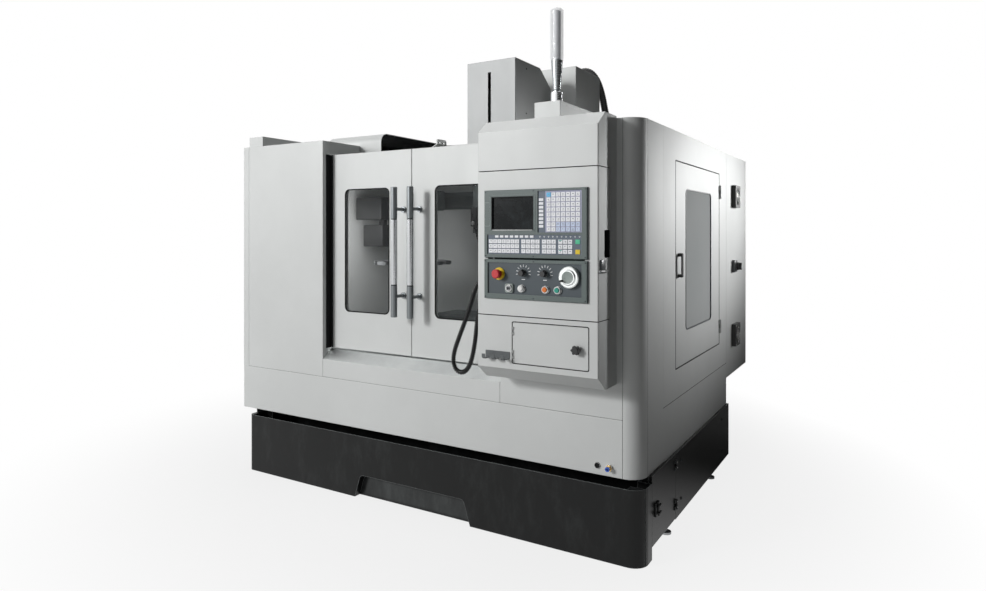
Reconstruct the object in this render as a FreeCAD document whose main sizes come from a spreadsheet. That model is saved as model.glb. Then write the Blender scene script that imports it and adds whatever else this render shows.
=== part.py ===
import FreeCAD, Part
import math
import os

import Sketcher
from FreeCAD import Placement, Rotation, Vector

# A vertical machining centre: a cast bed, column, saddle, table and spindle head inside a
# sheet-metal enclosure, with sliding front doors, a hinged operator console, a tool magazine,
# an electrical cabinet and a coolant tank.
# Frame: +Z up, +X to the right of someone at the console, the front faces -Y. The origin is on
# the floor, under the middle of the whole machine.

doc = FreeCAD.newDocument("machining_center")

# ---------------------------------------------------------------------------- sizes, in mm
SIZES = [
    # the whole machine
    ("front_y", -955, "plane of the front panels, from the middle of the machine"),
    ("half_width", 1243, "middle to the outside of the base and of the left wall"),
    ("sheet", 3, "thickness of the painted sheet metal"),
    ("bend", 3, "outer radius of a panel's visible folds"),
    ("fold", 41, "depth of a panel's folded edge"),
    ("play", 0.5, "clearance of a sliding or seated piece, each side"),
    # coolant tank
    ("tank_in", 78, "left end of the tank in from the outside of the base"),
    ("tank_proud", 24, "tank front ahead of the panels"),
    ("tank_high", 326, "height of the tank"),
    ("tank_wall", 4, "thickness of the tank's plate"),
    ("tank_nose", 120, "depth of the tank's full-width front"),
    ("tank_deep", 262, "depth of the tank in all"),
    ("tank_shoulder", 60, "the part between the skirts, in from each end"),
    ("tank_round", 70, "radius of the right front corner"),
    ("tank_round_left", 28, "radius of the left front corner"),
    ("toe_centre", 28, "middle of the toe recess"),
    ("toe_low", 728, "width of the toe recess at the floor"),
    ("toe_top", 650, "width of the toe recess at its top"),
    ("toe_high", 120, "height of the toe recess"),
    ("toe_deep", 40, "depth of the toe recess"),
    # base skirt and feet
    ("skirt_low", 49, "bottom of the skirt"),
    ("skirt_start", 96, "front end of the skirt behind the panel plane"),
    ("wing_gap", 33, "space between the bed and the skirt's rear wings"),
    ("hatch_end", 443, "rear edge of the base hatch"),
    ("foot_front", 389, "front feet behind the panel plane"),
    ("foot_rear", 1232, "rear feet behind the panel plane"),
    ("foot_r", 25, "radius of a foot's disc"),
    ("stud_r", 8, "radius of a foot's stud"),
    # lower panels, front panels and corner
    ("panel_low", 357, "bottom of the lower panels"),
    ("panel_seam", 605, "line between lower and upper panels"),
    ("side_in", 14, "right side panels in from the outside of the base"),
    ("corner_r", 79, "radius of the right front corner"),
    ("post_wide", 83, "width of the corner post's front"),
    ("wrap_end", 299, "end of the front panels round the corner"),
    ("side_top", 1890, "top of the right side"),
    ("left_top", 1913, "top of the left cover and of the roof sheet"),
    ("left_wall", 43, "thickness of the left wall"),
    ("cover_right", -593, "right edge of the left front cover"),
    ("door_overlap", 18, "doors behind the panels at their outer edges"),
    ("opening_right", 544, "right edge of the door opening"),
    ("sill_low", 703, "front edge of the sloped sill"),
    ("sill_high", 752, "rear edge of the sloped sill"),
    ("duct_wide", 116, "width of the duct on the left wall"),
    ("duct_top", 1978, "top of the duct on the left wall"),
    # sliding doors
    ("door_face", 63, "front of the sliding doors behind the panel plane"),
    ("door_thick", 35, "thickness of a sliding door"),
    ("door_low", 760, "bottom of the sliding doors"),
    ("door_top", 1837, "top of the sliding doors"),
    ("door_seam", -24, "line where the two doors meet"),
    ("window_low", 968, "bottom of the door windows"),
    ("window_high", 1639, "top of the door windows"),
    ("window_wide", 311, "width of the door windows"),
    ("window_left", -485, "left edge of the left window"),
    ("window_right", 126, "left edge of the right window"),
    ("window_r", 28, "corner radius of the windows"),
    ("pane_lap", 10, "pane behind the edge of its window"),
    ("pane_thick", 6, "thickness of a pane"),
    ("grip_left", -76, "left handle"),
    ("grip_right", 28, "right handle"),
    ("grip_r", 17, "radius of the door handles"),
    ("grip_out", 80, "handle axis ahead of the door face"),
    ("grip_low", 968, "bottom of the handles"),
    ("grip_high", 1636, "top of the handles"),
    ("grip_end", 163, "length of a handle's dark end"),
    ("post_low", 1074, "lower handle post"),
    ("post_high", 1523, "upper handle post"),
    ("tongue", 12, "depth of the door's tongue in the header"),
    ("tongue_thick", 6, "thickness of the tongue"),
    ("tongue_z", 1806, "underside of the tongue"),
    ("door_gap", 3, "open line round a door"),
    # header
    ("header_low", 1780, "underside of the door header"),
    ("header_top", 1834, "top of the door header"),
    ("header_back", 150, "rear of the header behind the panel plane"),
    ("lug_x", 75, "lifting lug on the header"),
    ("lug_front", 147, "front of the lug behind the panel plane"),
    ("lug_long", 84, "length of the lug"),
    ("lug_top", 1891, "top of the lug"),
    # right side door
    ("sdoor_start", 495, "front edge of the side door"),
    ("sdoor_end", 1388, "rear edge of the side door"),
    ("sdoor_low", 748, "bottom of the side door"),
    ("sdoor_top", 1747, "top of the side door"),
    ("swin_start", 671, "front edge of the side window"),
    ("swin_end", 1188, "rear edge of the side window"),
    ("swin_low", 914, "bottom of the side window"),
    ("swin_top", 1620, "top of the side window"),
    ("sgrip_y", 540, "side door handle"),
    ("sgrip_out", 24, "side door handle ahead of its door"),
    ("sgrip_low", 1185, "bottom of the side door handle"),
    ("sgrip_high", 1302, "top of the side door handle"),
    # electrical cabinet
    ("cabinet_left", 429, "left side of the electrical cabinet"),
    ("cabinet_front", 1574, "front of the cabinet behind the panel plane"),
    ("cabinet_rear", 2169, "rear of the cabinet door behind the panel plane"),
    ("cabinet_low", 512, "bottom of the cabinet"),
    ("cabinet_door", 25, "thickness of the cabinet door"),
    ("seal", 5, "seal gap in front of the cabinet door"),
    ("fan_start", 1728, "front edge of the fans"),
    ("fan_wide", 140, "side of a fan's frame"),
    ("fan_proud", 25, "fan's frame ahead of the cabinet"),
    ("fan_low", 683, "bottom of the lower fan"),
    ("fan_high", 1562, "bottom of the upper fan"),
    ("switch_y", 1772, "main switch behind the panel plane"),
    ("switch_z", 1189, "height of the main switch"),
    ("switch_wide", 75, "side of the main switch's plate"),
    # operator console
    ("console_left", 550, "left side of the console"),
    ("console_right", 1120, "right side of the console"),
    ("console_deep", 204, "console front ahead of the panel plane"),
    ("console_low", 757, "bottom of the console"),
    ("console_top", 1897, "top of the console"),
    ("console_lid", 1841, "start of the chamfer at the top"),
    ("lid_back", 73, "depth of the chamfer at the top"),
    ("chin_up", 58, "height of the chamfer at the bottom"),
    ("chin_back", 74, "depth of the chamfer at the bottom"),
    ("shell_low", 1045, "bottom of the hinged middle of the console"),
    ("shell_top", 1668, "top of the hinged middle of the console"),
    ("shell_gap", 4.5, "open line above, below and behind the hinged middle"),
    ("shell_back", 74, "rear of the hinged middle ahead of the panel plane"),
    ("console_r", 5, "radius of the console's upright edges"),
    ("recess_back", 78, "rear of the side grip ahead of the panel plane"),
    ("recess_front", 140, "front of the side grip ahead of the panel plane"),
    ("recess_low", 1298, "bottom of the side grip"),
    ("recess_high", 1413, "top of the side grip"),
    ("recess_deep", 22, "depth of the side grip"),
    ("flap_left", 726, "left edge of the console flap"),
    ("flap_right", 1078, "right edge of the console flap"),
    ("flap_low", 842, "bottom of the console flap"),
    ("flap_high", 1018, "top of the console flap"),
    ("flap_thick", 18, "thickness of the console flap"),
    ("star_x", 1030, "star knob on the flap"),
    ("star_z", 925, "height of the star knob"),
    ("star_r", 20, "radius of the star knob"),
    ("hooks_left", 592, "left end of the pendant hooks"),
    ("hooks_wide", 122, "length of the pendant hooks"),
    ("hooks_z", 872, "height of the pendant hooks"),
    # control panel
    ("frame_left", 590, "left edge of the control frames"),
    ("frame_wide", 487, "width of the control frames"),
    ("upper_low", 1293, "bottom of the upper control frame"),
    ("upper_high", 1585, "top of the upper control frame"),
    ("lower_low", 1116, "bottom of the lower control frame"),
    ("lower_high", 1287, "top of the lower control frame"),
    ("frame_proud", 12, "control frames ahead of the console front"),
    ("plate_drop", 6, "sunk plates behind the face of the frames"),
    ("control_deep", 46, "control frames behind the console front"),
    ("screen_left", 630, "left edge of the screen"),
    ("screen_low", 1416, "bottom of the screen"),
    ("screen_wide", 202, "width of the screen"),
    ("screen_high", 138, "height of the screen"),
    ("key_proud", 1.6, "keys ahead of their sheet"),
    ("estop_x", 665, "emergency stop"),
    ("estop_z", 1224, "height of the emergency stop"),
    ("estop_r", 20, "radius of the emergency stop's cap"),
    ("speed_x", 783, "left selector"),
    ("feed_x", 885, "right selector"),
    ("selector_z", 1230, "height of the selectors"),
    ("wheel_x", 1000, "handwheel"),
    ("wheel_z", 1219, "height of the handwheel"),
    ("wheel_r", 46, "radius of the handwheel's dial"),
    ("lock_x", 716, "key switch"),
    ("white_x", 775, "white button"),
    ("orange_x", 889, "orange button"),
    ("green_x", 945, "green button"),
    ("button_z", 1164, "height of the key switch and the buttons"),
    ("button_r", 11, "radius of a push button"),
    ("button_travel", 4, "travel of a push button"),
    # conduit and hose
    ("grommet_x", 1032, "cable grommet"),
    ("grommet_z", 397, "height of the cable grommet"),
    ("inlet_x", 1088, "air inlet"),
    ("inlet_z", 396, "height of the air inlet"),
    ("inlet_bore", 4.05, "bore radius of the air inlet, for an 8 mm tube"),
    ("conduit_y", 52, "conduit ahead of the panel plane"),
    ("conduit_r", 12, "outer radius of the conduit's ribs"),
    ("conduit_root", 10, "radius of the conduit between its ribs"),
    ("conduit_bore", 8, "radius of the conduit's bore"),
    ("conduit_pitch", 19, "distance between the conduit's ribs"),
    ("gland_long", 30, "length of a gland"),
    ("hose_y", 1808, "rear hose behind the panel plane"),
    ("hose_r", 25, "outer radius of the rear hose"),
    ("hose_bore", 20, "bore radius of the rear hose"),
    # signal light
    ("light_x", 849, "signal light"),
    ("light_y", 21, "signal light ahead of the panel plane"),
    ("light_r", 30, "radius of the clear tube"),
    ("clear_high", 230, "height of the clear tube"),
    ("collar_high", 43, "height of the metal collar"),
    ("taper_high", 139, "height of the tapered part"),
    ("tube_wall", 3, "wall of the clear tube"),
    ("cable_duct_left", 751, "left side of the cable duct"),
    ("cable_duct_wide", 128, "width of the cable duct"),
    ("cable_duct_top", 1981, "top of the cable duct"),
    ("cable_duct_front", 49, "cable duct ahead of the panel plane"),
    ("cable_duct_end", 1700, "rear end of the cable duct"),
    # machine inside
    ("spindle_y", 950, "spindle axis behind the panel plane"),
    ("bed_half", 420, "half width of the bed"),
    ("bed_front", 275, "front of the bed"),
    ("bed_rear", 1850, "rear of the bed"),
    ("bed_low", 40, "underside of the bed"),
    ("bed_top", 560, "top of the bed"),
    ("rail", 35, "width and height of a guide rail"),
    ("rail_gap", 0.3, "clearance of a carriage round its rail"),
    ("yrail_x", 300, "rails on the bed, from the middle"),
    ("xrail_y", 110, "rails on the saddle, from the spindle"),
    ("saddle_half", 600, "half length of the saddle"),
    ("saddle_deep", 200, "half depth of the saddle"),
    ("saddle_thick", 130, "thickness of the saddle"),
    ("table_half", 450, "half length of the table"),
    ("table_deep", 160, "half depth of the table"),
    ("table_thick", 75, "thickness of the table"),
    ("carriage", 22, "table and saddle above the top of their rails"),
    ("slot_pitch", 80, "distance between the T-slots"),
    ("slot_wide", 18, "width of a T-slot"),
    ("column_half", 300, "half width of the column"),
    ("column_front", 1400, "front of the column"),
    ("column_rear", 1750, "rear of the column at its top"),
    ("zrail_x", 130, "rails on the column, from the middle"),
    ("zrail_low", 1000, "bottom of the column rails"),
    ("head_half", 150, "half width of the spindle head"),
    ("head_front", 850, "front of the spindle head"),
    ("nose_z", 1290, "nose of the spindle at rest"),
    ("head_low", 1400, "underside of the spindle head"),
    ("head_top", 1940, "top of the spindle head"),
    ("quill_r", 95, "radius of the spindle housing"),
    ("cover_left", -172, "left side of the head cover"),
    ("cover_wide", 342, "width of the head cover"),
    ("cover_front", 818, "front of the head cover"),
    ("cover_mid", 1141, "rear end of the head cover's flat top"),
    ("cover_back", 1299, "rear of the head cover"),
    ("cover_low", 1700, "bottom of the head cover"),
    ("motor_high", 330, "height of the spindle motor"),
    ("cover_room", 164, "space between the spindle motor and the top of its cover"),
    ("cover_fall", 108, "fall of the head cover's sloped rear"),
    ("slot_down", 71, "slot in the head cover below the cover's top"),
    ("slot_long", 393, "length of the slot in the head cover"),
    ("crown_front", 1351, "front of the column's top cover"),
    ("crown_rear", 1758, "rear of the column's top cover"),
    ("crown_half", 326, "half width of the column's top cover"),
    ("crown_top", 2492, "top of the column's top cover"),
    ("crown_high", 292, "height of the column's top cover"),
    # tool magazine
    ("mag_x", -700, "centre of the tool carousel at rest"),
    ("mag_pitch", 230, "radius to the middle of a tool pocket"),
    ("mag_r", 262, "radius to the fingers' tips"),
    ("mag_low", 1190, "underside of the tool carousel"),
    ("mag_thick", 22, "thickness of the tool carousel"),
    ("pockets", 12, "number of tool pockets"),
    ("pocket_r", 28, "radius of a tool pocket"),
    ("beam_low", 1570, "underside of the magazine beam"),
    ("beam_high", 1690, "top of the magazine beam"),
    ("beam_front", 1296, "front of the magazine beam"),
    ("hood_left", -846, "left end of the magazine hood"),
    ("hood_right", -431, "right end of the magazine hood"),
    ("hood_front", 301, "front of the magazine hood"),
    ("hood_back", 1180, "rear of the magazine hood"),
    ("hood_top", 1980, "top of the magazine hood"),
    ("hood_r", 55, "radius of the hood's front edge"),
]


class Size:
    """A length that keeps both its value and the sheet expression that gives it."""

    def __init__(self, value, text):
        self.value = float(value)
        self.text = text

    def __add__(self, other):
        other = size(other)
        return Size(self.value + other.value, f"({self.text} + {other.text})")

    def __radd__(self, other):
        return size(other) + self

    def __sub__(self, other):
        other = size(other)
        return Size(self.value - other.value, f"({self.text} - {other.text})")

    def __rsub__(self, other):
        return size(other) - self

    def __mul__(self, other):
        other = size(other)
        return Size(self.value * other.value, f"({self.text} * {other.text})")

    def __rmul__(self, other):
        return size(other) * self

    def __truediv__(self, other):
        other = size(other)
        return Size(self.value / other.value, f"({self.text} / {other.text})")

    def __neg__(self):
        return Size(-self.value, f"(0 - {self.text})")


def size(number):
    return number if isinstance(number, Size) else Size(number, f"{number:.6g}")


class Sizes:
    """The spreadsheet, and one Size for each of its aliases."""

    def __init__(self, rows):
        self.table = doc.addObject("Spreadsheet::Sheet", "Sizes")
        for n, (alias, value, meaning) in enumerate(rows, 1):
            self.table.set(f"A{n}", meaning)
            self.table.set(f"B{n}", str(value))
            self.table.setAlias(f"B{n}", alias)
        doc.recompute()
        for alias, _, _ in rows:
            setattr(self, alias, Size(self.table.get(alias), f"Sizes.{alias}"))


s = Sizes(SIZES)
# lengths that follow from the others
s.side_x = s.half_width - s.side_in
s.corner_seam = s.side_x - s.post_wide
s.tank_left = s.tank_in - s.half_width
s.column_top = s.crown_top - s.crown_high
s.light_top = s.cable_duct_top + s.collar_high + s.taper_high + s.clear_high
s.motor_low = s.head_top + 20
s.cover_top = s.motor_low + s.motor_high + s.cover_room
s.cover_slope = s.cover_top - s.cover_fall
s.slot_top = s.cover_top - s.slot_down
s.slot_low = s.slot_top - s.slot_long
nodes = []


def back(distance):
    """The Y of a plane this far behind the front panels."""
    return s.front_y + distance


def ahead(distance):
    """The Y of a plane this far in front of the front panels."""
    return s.front_y - distance


# hinges: the heights of each door's hinges and the place of its axis
HINGE_GAP = 0.8
HATCH_HINGES = (123, 309)
HATCH_AXIS = (s.half_width + 5.5, back(s.hatch_end) + s.door_gap / 2)
SIDE_HINGES = (850, 1640)
SIDE_AXIS = (s.side_x + 6.5, back(s.sdoor_end))
SHELL_HINGES = (1130, 1590)
SHELL_AXIS = (s.console_left - 5.5, ahead(s.shell_back) + s.shell_gap / 2)
FLAP_HINGES = (880, 980)
FLAP_AXIS = (s.flap_left - 1, ahead(s.console_deep) - 4.5)
CABINET_HINGES = (700, 1200, 1700)
CABINET_AXIS = (s.cabinet_left - 6.5, back(s.cabinet_rear - s.cabinet_door) - s.seal / 2)


# ---------------------------------------------------------------------------- tools for shapes
def bind(thing, **sizes):
    for path, amount in sizes.items():
        amount = size(amount)
        thing.setExpression(path.replace("__", "."), amount.text)


def put(thing, x, y, z, turn=None):
    thing.Placement = Placement(
        Vector(size(x).value, size(y).value, size(z).value), turn or Rotation()
    )
    bind(thing, Placement__Base__x=x, Placement__Base__y=y, Placement__Base__z=z)
    return thing


def box(x, y, z):
    """A box from three (low, high) spans."""
    b = doc.addObject("Part::Box", "Box")
    bind(b, Length=x[1] - size(x[0]), Width=y[1] - size(y[0]), Height=z[1] - size(z[0]))
    return put(b, x[0], y[0], z[0])


TURNS = {
    "Z": Rotation(),
    "X": Rotation(Vector(0, 1, 0), 90),
    "Y": Rotation(Vector(1, 0, 0), -90),
    "-Y": Rotation(Vector(1, 0, 0), 90),
    "-X": Rotation(Vector(0, 1, 0), -90),
}


def cylinder(radius, start, length, along="Z"):
    c = doc.addObject("Part::Cylinder", "Cylinder")
    bind(c, Radius=radius, Height=length)
    return put(c, *start, turn=TURNS[along])


def fuse(*pieces):
    f = doc.addObject("Part::MultiFuse", "Fuse")
    f.Shapes = list(pieces)
    f.Refine = True
    return f


def cut(base, *tools):
    c = doc.addObject("Part::Cut", "Cut")
    c.Base = base
    c.Tool = tools[0] if len(tools) == 1 else fuse(*tools)
    c.Refine = True
    return c


def group(*pieces):
    g = doc.addObject("Part::Compound", "Group")
    g.Links = list(pieces)
    return g


def node(label, thing):
    thing = thing.body if isinstance(thing, Solid) else thing
    thing.Label = label
    nodes.append(thing)
    return thing


def straight_edges(shape, axis, places):
    """Names of the straight edges along an axis that pass through places on the other two."""
    across = [i for i in range(3) if i != "XYZ".index(axis)]
    names = []
    for n, edge in enumerate(shape.Edges, 1):
        if len(edge.Vertexes) != 2 or not isinstance(edge.Curve, (Part.Line, Part.LineSegment)):
            continue
        a, b = (v.Point for v in edge.Vertexes)
        if any(abs(a[i] - b[i]) > 0.01 for i in across):
            continue
        if any(all(abs(a[i] - size(p).value) < 0.05 for i, p in zip(across, at)) for at in places):
            names.append(f"Edge{n}")
    if not names:
        raise ValueError(f"no edge along {axis} at these places")
    return names


class Solid:
    """One body made feature by feature. Outlines are drawn on the planes XY, XZ and YZ."""

    def __init__(self, name="Solid"):
        self.body = doc.addObject("PartDesign::Body", name)

    def sketch(self, plane, at):
        sk = self.body.newObject("Sketcher::SketchObject", "Outline")
        origin = self.body.Origin.OriginFeatures
        sk.AttachmentSupport = [(next(o for o in origin if o.Role == plane + "_Plane"), "")]
        sk.MapMode = "FlatFace"
        at = -size(at) if plane == "XZ" else size(at)
        bind(sk, AttachmentOffset__Base__z=at)
        return sk

    def draw(self, plane, at, outlines):
        sk = self.sketch(plane, at)
        for outline in outlines:
            outline(sk)
        return sk

    def pad(self, plane, span, *outlines):
        """Material from span[0] to span[1] along the plane's normal."""
        sk = self.draw(plane, span[1] if plane == "XZ" else span[0], outlines)
        f = self.body.newObject("PartDesign::Pad", "Pad")
        f.Profile = sk
        bind(f, Length=size(span[1]) - span[0])
        return self.done(f, +1)

    def pocket(self, plane, span, *outlines):
        """A cut from span[0] to span[1] along the plane's normal."""
        sk = self.draw(plane, span[0] if plane == "XZ" else span[1], outlines)
        f = self.body.newObject("PartDesign::Pocket", "Pocket")
        f.Profile = sk
        bind(f, Length=size(span[1]) - span[0])
        return self.done(f, -1)

    def turn(self, points):
        """A solid turned about the body's own Z axis, from (radius, height) points."""
        sk = self.draw("XZ", 0, [polygon(*points)])
        f = self.body.newObject("PartDesign::Revolution", "Revolution")
        f.Profile = sk
        f.ReferenceAxis = (sk, ["V_Axis"])
        f.Angle = 360
        return self.done(f, +1)

    def round(self, radius, axis, *places):
        return self.dress("Fillet", "Radius", radius, axis, places)

    def bevel(self, length, axis, *places):
        return self.dress("Chamfer", "Size", length, axis, places)

    def dress(self, kind, field, amount, axis, places):
        base = self.body.Tip
        f = self.body.newObject("PartDesign::" + kind, kind)
        f.Base = (base, straight_edges(base.Shape, axis, places))
        bind(f, **{field: amount})
        return self.done(f, 0)

    def around(self, feature, count):
        """The feature again, evenly round the body's own Z axis."""
        f = self.body.newObject("PartDesign::PolarPattern", "PolarPattern")
        f.Originals = [feature]
        f.Axis = (next(o for o in self.body.Origin.OriginFeatures if o.Role == "Z_Axis"), [""])
        f.Angle = 360
        bind(f, Occurrences=count)
        self.body.Tip = f
        doc.recompute()
        return self

    def rows(self, feature, plane, x_count, x_length, y_count, y_length):
        """The feature again, in rows along the body's X and its plane's second axis."""
        f = self.body.newObject("PartDesign::MultiTransform", "MultiTransform")
        f.Originals = [feature]
        steps = []
        axes = {o.Role: o for o in self.body.Origin.OriginFeatures}
        for role, count, length in (("X_Axis", x_count, x_length), (plane, y_count, y_length)):
            if count > 1:
                p = self.body.newObject("PartDesign::LinearPattern", "LinearPattern")
                p.Direction = (axes[role], [""])
                bind(p, Length=length)
                p.Occurrences = count
                steps.append(p)
        f.Transformations = steps
        self.body.Tip = f
        doc.recompute()
        return self

    def done(self, feature, sign):
        before = self.body.Shape.Volume if self.body.Tip and not self.body.Shape.isNull() else 0
        self.body.Tip = feature
        doc.recompute()
        after = feature.Shape.Volume
        if sign and (after - before) * sign <= 0.001:
            raise ValueError(f"{self.body.Label}: {feature.Name} changes nothing")
        self.last = feature
        return self

    def at(self, x, y, z, turn="Z"):
        put(self.body, x, y, z, turn=TURNS[turn])
        return self.body


def hold(sk, geometry, point, x, y):
    """Ties a sketch point to its two distances from the origin."""
    for kind, amount in (("DistanceX", x), ("DistanceY", y)):
        amount = size(amount)
        n = sk.addConstraint(Sketcher.Constraint(kind, -1, 1, geometry, point, amount.value))
        sk.setExpression(f"Constraints[{n}]", amount.text)


def polygon(*points):
    """A closed outline of straight lines."""

    def draw(sk):
        first = sk.GeometryCount
        spots = [Vector(size(x).value, size(y).value, 0) for x, y in points]
        count = len(spots)
        for a, b in zip(spots, spots[1:] + spots[:1]):
            sk.addGeometry(Part.LineSegment(a, b), False)
        for i in range(count):
            after = first + (i + 1) % count
            sk.addConstraint(Sketcher.Constraint("Coincident", first + i, 2, after, 1))
        for i, (x, y) in enumerate(points):
            hold(sk, first + i, 1, x, y)

    return draw


def rectangle(x, y):
    return polygon((x[0], y[0]), (x[1], y[0]), (x[1], y[1]), (x[0], y[1]))


def rounded(x, y, radius):
    """A rectangle with four round corners."""

    def draw(sk):
        first = sk.GeometryCount
        x0, x1, y0, y1 = (size(v) for v in (*x, *y))
        centres = [
            (x0 + radius, y0 + radius, 180),
            (x1 - radius, y0 + radius, 270),
            (x1 - radius, y1 - radius, 0),
            (x0 + radius, y1 - radius, 90),
        ]
        r = size(radius).value
        ends = []
        for cx, cy, start in centres:
            a, b = math.radians(start), math.radians(start + 90)
            centre = Vector(cx.value, cy.value, 0)
            circle = Part.Circle(centre, Vector(0, 0, 1), r)
            sk.addGeometry(Part.ArcOfCircle(circle, a, b), False)
            ends.append([centre + Vector(math.cos(t), math.sin(t), 0) * r for t in (a, b)])
        for i in range(4):
            sk.addGeometry(Part.LineSegment(ends[i][1], ends[(i + 1) % 4][0]), False)
        for i in range(4):
            line, arc, after = first + 4 + i, first + i, first + (i + 1) % 4
            sk.addConstraint(Sketcher.Constraint("Tangent", arc, 2, line, 1))
            sk.addConstraint(Sketcher.Constraint("Tangent", line, 2, after, 1))
        for i, (cx, cy, _) in enumerate(centres):
            hold(sk, first + i, 3, cx, cy)
            n = sk.addConstraint(Sketcher.Constraint("Radius", first + i, r))
            sk.setExpression(f"Constraints[{n}]", size(radius).text)

    return draw


def circle(x, y, radius):
    def draw(sk):
        n = sk.GeometryCount
        middle = Vector(size(x).value, size(y).value, 0)
        sk.addGeometry(Part.Circle(middle, Vector(0, 0, 1), size(radius).value), False)
        hold(sk, n, 3, x, y)
        c = sk.addConstraint(Sketcher.Constraint("Radius", n, size(radius).value))
        sk.setExpression(f"Constraints[{c}]", size(radius).text)

    return draw


def tray(x, y, z, open_side, wall=None):
    """A folded panel: a box of sheet metal without the wall on its open side."""
    wall = s.sheet if wall is None else wall
    spans = [list(x), list(y), list(z)]
    inner = [[size(a) + wall, size(b) - wall] for a, b in spans]
    axis = "XYZ".index(open_side[-1])
    end = 0 if open_side.startswith("-") else 1
    inner[axis][end] = size(spans[axis][end]) + (wall if end else -wall)
    return cut(box(x, y, z), box(*[tuple(i) for i in inner]))


def knuckles(axis_at, heights, radius, long, leaf_to, along, moving, seat=None):
    """Hinge knuckles round a vertical axis at each height, with leaves that run to leaf_to.

    Each hinge has two knuckles on the moving door and one between them on the frame. A leaf
    is centred on the axis, or lies between it and the plane that it is screwed on.
    """
    pieces = []
    third = size(long) / 3
    x, y = axis_at
    middle = size(x if along == "Y" else y)
    leaf = (middle - radius * 0.5, middle + radius * 0.5)
    if seat is not None:
        leaf = tuple(sorted((size(seat), middle), key=lambda e: e.value))
    ends = (y, leaf_to) if along == "Y" else (x, leaf_to)
    ends = tuple(sorted((size(e) for e in ends), key=lambda e: e.value))
    for height in heights:
        low = size(height) - size(long) / 2
        for i in (0, 2) if moving else (1,):
            start = low + third * i + HINGE_GAP / 2
            end = low + third * (i + 1) - HINGE_GAP / 2
            pieces.append(cylinder(radius, (x, y, start), end - start))
            if along == "Y":
                pieces.append(box(leaf, ends, (start, end)))
            else:
                pieces.append(box(ends, leaf, (start, end)))
    return pieces


# ---------------------------------------------------------------------------- coolant tank
def coolant_tank():
    """An open trough, wide in front and narrower between the skirts, with a toe recess."""
    t = Solid("Tank")
    wall = s.tank_wall
    front = ahead(s.tank_proud)
    nose = front + s.tank_nose
    rear = front + s.tank_deep
    left, right = s.tank_left, s.half_width
    inner_left, inner_right = left + s.tank_shoulder, right - s.tank_shoulder
    t.pad("XY", (0, s.tank_high), polygon(
        (left, front), (right, front), (right, nose), (inner_right, nose),
        (inner_right, rear), (inner_left, rear), (inner_left, nose), (left, nose)))
    t.round(s.tank_round, "Z", (right, front))
    t.round(s.tank_round_left, "Z", (left, front))
    low, top = s.toe_low / 2, s.toe_top / 2
    middle = s.toe_centre
    t.pocket("XZ", (front, front + s.toe_deep), polygon(
        (middle - low, 0), (middle + low, 0), (middle + top, s.toe_high), (middle - top, s.toe_high)))
    t.round(24, "Y", (middle - top, s.toe_high), (middle + top, s.toe_high))
    shelf = front + s.toe_deep + wall
    t.pocket("XY", (wall, s.tank_high), polygon(
        (left + wall, shelf), (right - wall, shelf), (right - wall, nose - wall),
        (inner_right - wall, nose - wall), (inner_right - wall, rear - wall),
        (inner_left + wall, rear - wall), (inner_left + wall, nose - wall), (left + wall, nose - wall)))
    start, end = left + s.tank_round_left, right - s.tank_round
    t.pocket("XZ", (front + wall, shelf), polygon(
        (start, wall), (middle - low - wall * 2, wall), (middle - top - wall * 2, s.toe_high + wall),
        (middle + top + wall * 2, s.toe_high + wall), (middle + low + wall * 2, wall), (end, wall),
        (end, s.tank_high), (start, s.tank_high)))
    node("coolant_tank", t)


# ---------------------------------------------------------------------------- skirt and feet
def skirt_half(side):
    """One side of the skirt with its rear wing and inner rails; side is 1 or -1."""
    outer, skin, rail = s.half_width, s.half_width - s.sheet, s.half_width - 50
    rail_edge = s.half_width - 16
    start = back(s.skirt_start)
    plate_start = back(s.hatch_end) + s.door_gap if side > 0 else start
    rear = back(s.cabinet_front)

    def span(a, b):
        return (a, b) if side > 0 else (-b, -a)

    low, top = s.skirt_low, s.panel_low
    pieces = [
        box(span(skin, outer), (plate_start, rear), (low, top)),
        box(span(rail, skin), (plate_start, rear), (low, low + s.sheet)),
        box(span(rail, skin), (plate_start, rear), (top - s.sheet, top)),
        box(span(s.bed_half + s.wing_gap, outer), (rear - s.sheet, rear), (low, top)),
    ]
    if side > 0:
        pieces += [
            box(span(rail, rail_edge), (start, plate_start + 1), (low, low + s.sheet)),
            box(span(rail, rail_edge), (start, plate_start + 1), (top - s.sheet, top)),
            box(span(rail, rail_edge), (start, start + s.sheet), (low, top)),
            box(span(rail, skin), (plate_start, plate_start + s.sheet), (low, top)),
        ]
    holes = [
        cylinder(s.stud_r + s.play, (side * (s.half_width - 30), back(y), low - 1), s.sheet + 2)
        for y in (s.foot_front, s.foot_rear)
    ]
    return pieces, holes


def base_skirt():
    halves = []
    for side in (1, -1):
        pieces, holes = skirt_half(side)
        plate_end = back(s.hatch_end) + s.door_gap + 20
        if side > 0:
            pieces += knuckles(HATCH_AXIS, HATCH_HINGES, 5, 48, plate_end, "Y", False, s.half_width)
        halves.append(cut(fuse(*pieces), *holes))
    node("base_skirt", group(*halves))


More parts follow.
